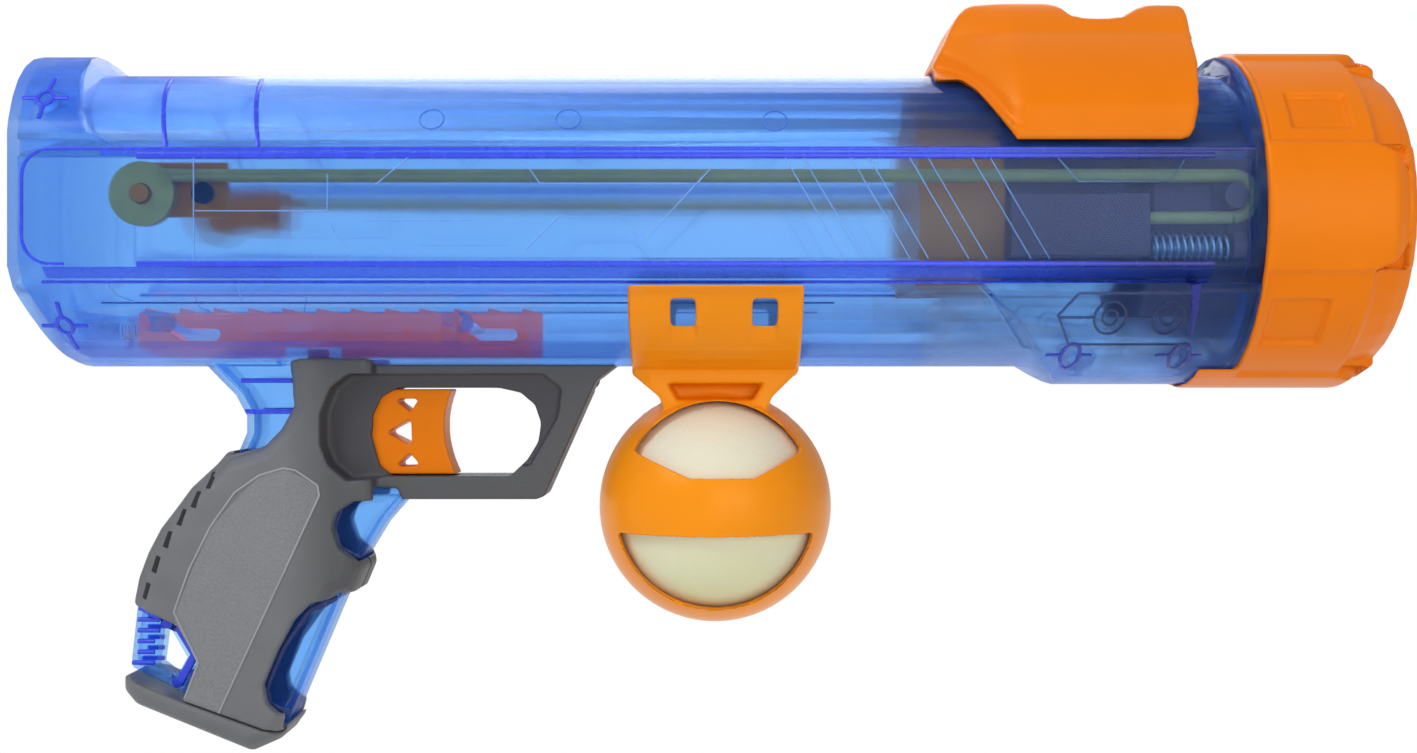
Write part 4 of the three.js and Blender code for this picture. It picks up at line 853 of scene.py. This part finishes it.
def pulled_tube(side):
    """The band's inner run from the front guide to the sled: circles about its middle line, radius times
    cosine and sine."""
    low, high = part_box(f"elastic_band_pull_{side}")
    middle_y, middle_z = (low[1] + high[1]) / 2, (low[2] + high[2]) / 2
    radius = (high[2] - low[2]) / 2
    along = np.linspace(high[0], low[0], tube_steps + 1)[:, None]
    turns = 2 * np.pi * np.arange(tube_around) / tube_around
    rings = np.broadcast_arrays(along, middle_y + radius * np.cos(turns), middle_z + radius * np.sin(turns))
    verts = np.stack(rings, axis=-1).reshape(-1, 3)
    faces = ring_faces(tube_steps + 1, tube_around, 0)
    piece = closed_piece(f"band_pull_{side}", verts, faces, tube_sharp, latex)
    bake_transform(piece)
    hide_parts(f"elastic_band_pull_{side}")


for side in ("right", "left"):
    dress(f"elastic_band_{side}", latex, "root", sharp=tube_sharp)
    pulled_tube(side)


# Springs: coils of bare steel wire. A buffer spring lies behind each side wall, and two small ones return the
# trigger and the ratchet bar.
coil_sharp = 80


def metal(name, color, roughness):
    """Bare or blackened steel, with fine scratches in its roughness."""
    finish = Finish(name)
    where, _ = finish.place()
    scratch = finish.noise(where, scale=1.2, detail=4.0)
    shader = finish.node(
        "ShaderNodeBsdfPrincipled",
        None,
        Base_Color=color,
        Metallic=1.0,
        Roughness=roughness + scratch * 0.15,
    )
    return finish.surface(shader)


def pressed_spring(node):
    """A spring between the casing, at its rear end, and a moving body, at its front end."""
    piece = merged_copy(node, node + "_dressed", coil_sharp)
    piece.data.materials.append(steel)
    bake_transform(piece)
    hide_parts(node)


steel = metal("spring_steel", (0.62, 0.63, 0.65), 0.22)
for side in ("right", "left"):
    dress(f"buffer_spring_{side}", steel, "root", sharp=coil_sharp)
pressed_spring("trigger_spring")
pressed_spring("ratchet_spring")


# Screws: bare steel ones hold the handle and cup to the sled and the casing halves together, and black ones
# hold the grip covers, the guard and the band hubs.
black_steel = metal("blackened_steel", (0.02, 0.018, 0.02), 0.35)
for node in ("handle_screw_1", "handle_screw_2", "cup_screw"):
    dress(node, steel, "sled")
for i in range(1, 5):
    dress(f"casing_screw_{i}", steel, "root")
for node in ("grip_screw_1", "grip_screw_2", "guard_screw"):
    dress(node, black_steel, "root")
for side in ("right", "left"):
    dress(f"band_hub_screw_{side}", black_steel, "root")


# Tennis ball: a hollow rubber ball under pale yellow-green felt, with a painted light from above that turns it
# cream towards the top. It lies loose in the holder's cup.
felt_top, felt_run, felt_spread = 20.0, 40.0, 0.5
painted_light_felt, green_felt = (0.82, 0.81, 0.62), (0.75, 0.75, 0.34)


def ball_felt():
    """Fuzzy felt, from a painted light cream at the top to green as z falls over a run that noise spreads."""
    finish = Finish("ball_felt")
    where, (_, _, z) = finish.place()
    fuzz = finish.noise(where, scale=1.4, detail=6.0, roughness=0.75)
    broad = finish.noise(where, scale=0.06, detail=3.0)
    # Painted light: the felt turns lighter and creamier towards the top, where the light from above falls.
    low = (felt_top - z) / felt_run + (broad - 0.5) * felt_spread
    shader = finish.node(
        "ShaderNodeBsdfPrincipled",
        None,
        Base_Color=finish.blend_color(low.clamped(), painted_light_felt, green_felt),
        Roughness=0.95,
        Sheen_Weight=0.4,
        Normal=finish.bump(fuzz, strength=0.6, distance=0.0006),
    )
    return finish.surface(shader)


dress("tennis_ball", ball_felt(), "ball", sharp=80)


# Floor: white paper 1 mm under the butt, reaching far past the picture. It glows white to the camera and
# through the clear wall, as the photograph's ground does, and is matte to all other light.
floor_reach, floor_drop, floor_mirror = 6.0, 1 * MM, 0.85


def floor_finish():
    """Matte white, mixed with a glow by what a ray is: all of it for a camera or transmission ray, most of it
    for a glossy one."""
    finish = Finish("floor_paper")
    rays = finish.node("ShaderNodeLightPath").outputs
    kinds = ("Camera", "Glossy", "Transmission")
    seen, glossy, clear = (Value(finish, rays[f"Is {kind} Ray"]) for kind in kinds)
    matte = finish.node("ShaderNodeBsdfDiffuse", None, Color=(0.85, 0.85, 0.85))
    glow = finish.node("ShaderNodeEmission", None, Color=(1.0, 1.0, 1.0), Strength=1.0)
    share = (seen + clear).math("MAXIMUM", glossy * floor_mirror).math("MINIMUM", 1.0)
    return finish.surface(finish.blend_shader(share, matte, glow))


floor_z = cad_low.z - floor_drop
square = ((-1, -1), (1, -1), (1, 1), (-1, 1))
floor_corners = [(x * floor_reach, y * floor_reach, floor_z) for x, y in square]
floor_mesh = bpy.data.meshes.new("floor")
floor_mesh.from_pydata(floor_corners, [], [(0, 1, 2, 3)])
floor_mesh.materials.append(floor_finish())
floor = bpy.data.objects.new("floor", floor_mesh)
bpy.context.scene.collection.objects.link(floor)


# Surround: even white to the camera and through the clear wall, as in a product picture, and a softer, cooler
# sky to every other ray.
sky_color, sky_strength = (0.95, 0.97, 1.0, 1), 0.5
world = bpy.data.worlds.new("studio")
bpy.context.scene.world = world
world.use_nodes = True
sky = world.node_tree
sky.nodes.clear()
rays = sky.nodes.new("ShaderNodeLightPath").outputs
soft = sky.nodes.new("ShaderNodeBackground")
soft.inputs["Color"].default_value = sky_color
soft.inputs["Strength"].default_value = sky_strength
white = sky.nodes.new("ShaderNodeBackground")
white.inputs["Color"].default_value = (1, 1, 1, 1)
white.inputs["Strength"].default_value = 1.0
shown = sky.nodes.new("ShaderNodeMath")
shown.operation = "MAXIMUM"
sky.links.new(rays["Is Camera Ray"], shown.inputs[0])
sky.links.new(rays["Is Transmission Ray"], shown.inputs[1])
chosen = sky.nodes.new("ShaderNodeMixShader")
for source, socket in zip((shown, soft, white), chosen.inputs):
    sky.links.new(source.outputs[0], socket)
surround = sky.nodes.new("ShaderNodeOutputWorld")
sky.links.new(chosen.outputs[0], surround.inputs["Surface"])


# Lamps: three large square softboxes turned to the object's middle, the key lamp above its rear on the
# camera's side, a low one in front of it, and one behind and above it.
lamp_aim = (0.14, 0.0, 0.07)


def softbox(name, place, size, power):
    """A square area lamp of a size in metres and a power in watts at place, turned to the object's middle."""
    lamp = bpy.data.lights.new(name, "AREA")
    lamp.energy = power
    lamp.size = size
    made = bpy.data.objects.new(name, lamp)
    made.location = place
    made.rotation_euler = (Vector(lamp_aim) - Vector(place)).to_track_quat("-Z", "Y").to_euler()
    bpy.context.scene.collection.objects.link(made)


softbox("lamp_key", (-0.7, -0.8, 1.0), 0.6, 9)
softbox("lamp_fill", (0.45, -1.1, 0.1), 0.8, 5)
softbox("lamp_back", (0.1, 0.9, 0.9), 0.9, 7)
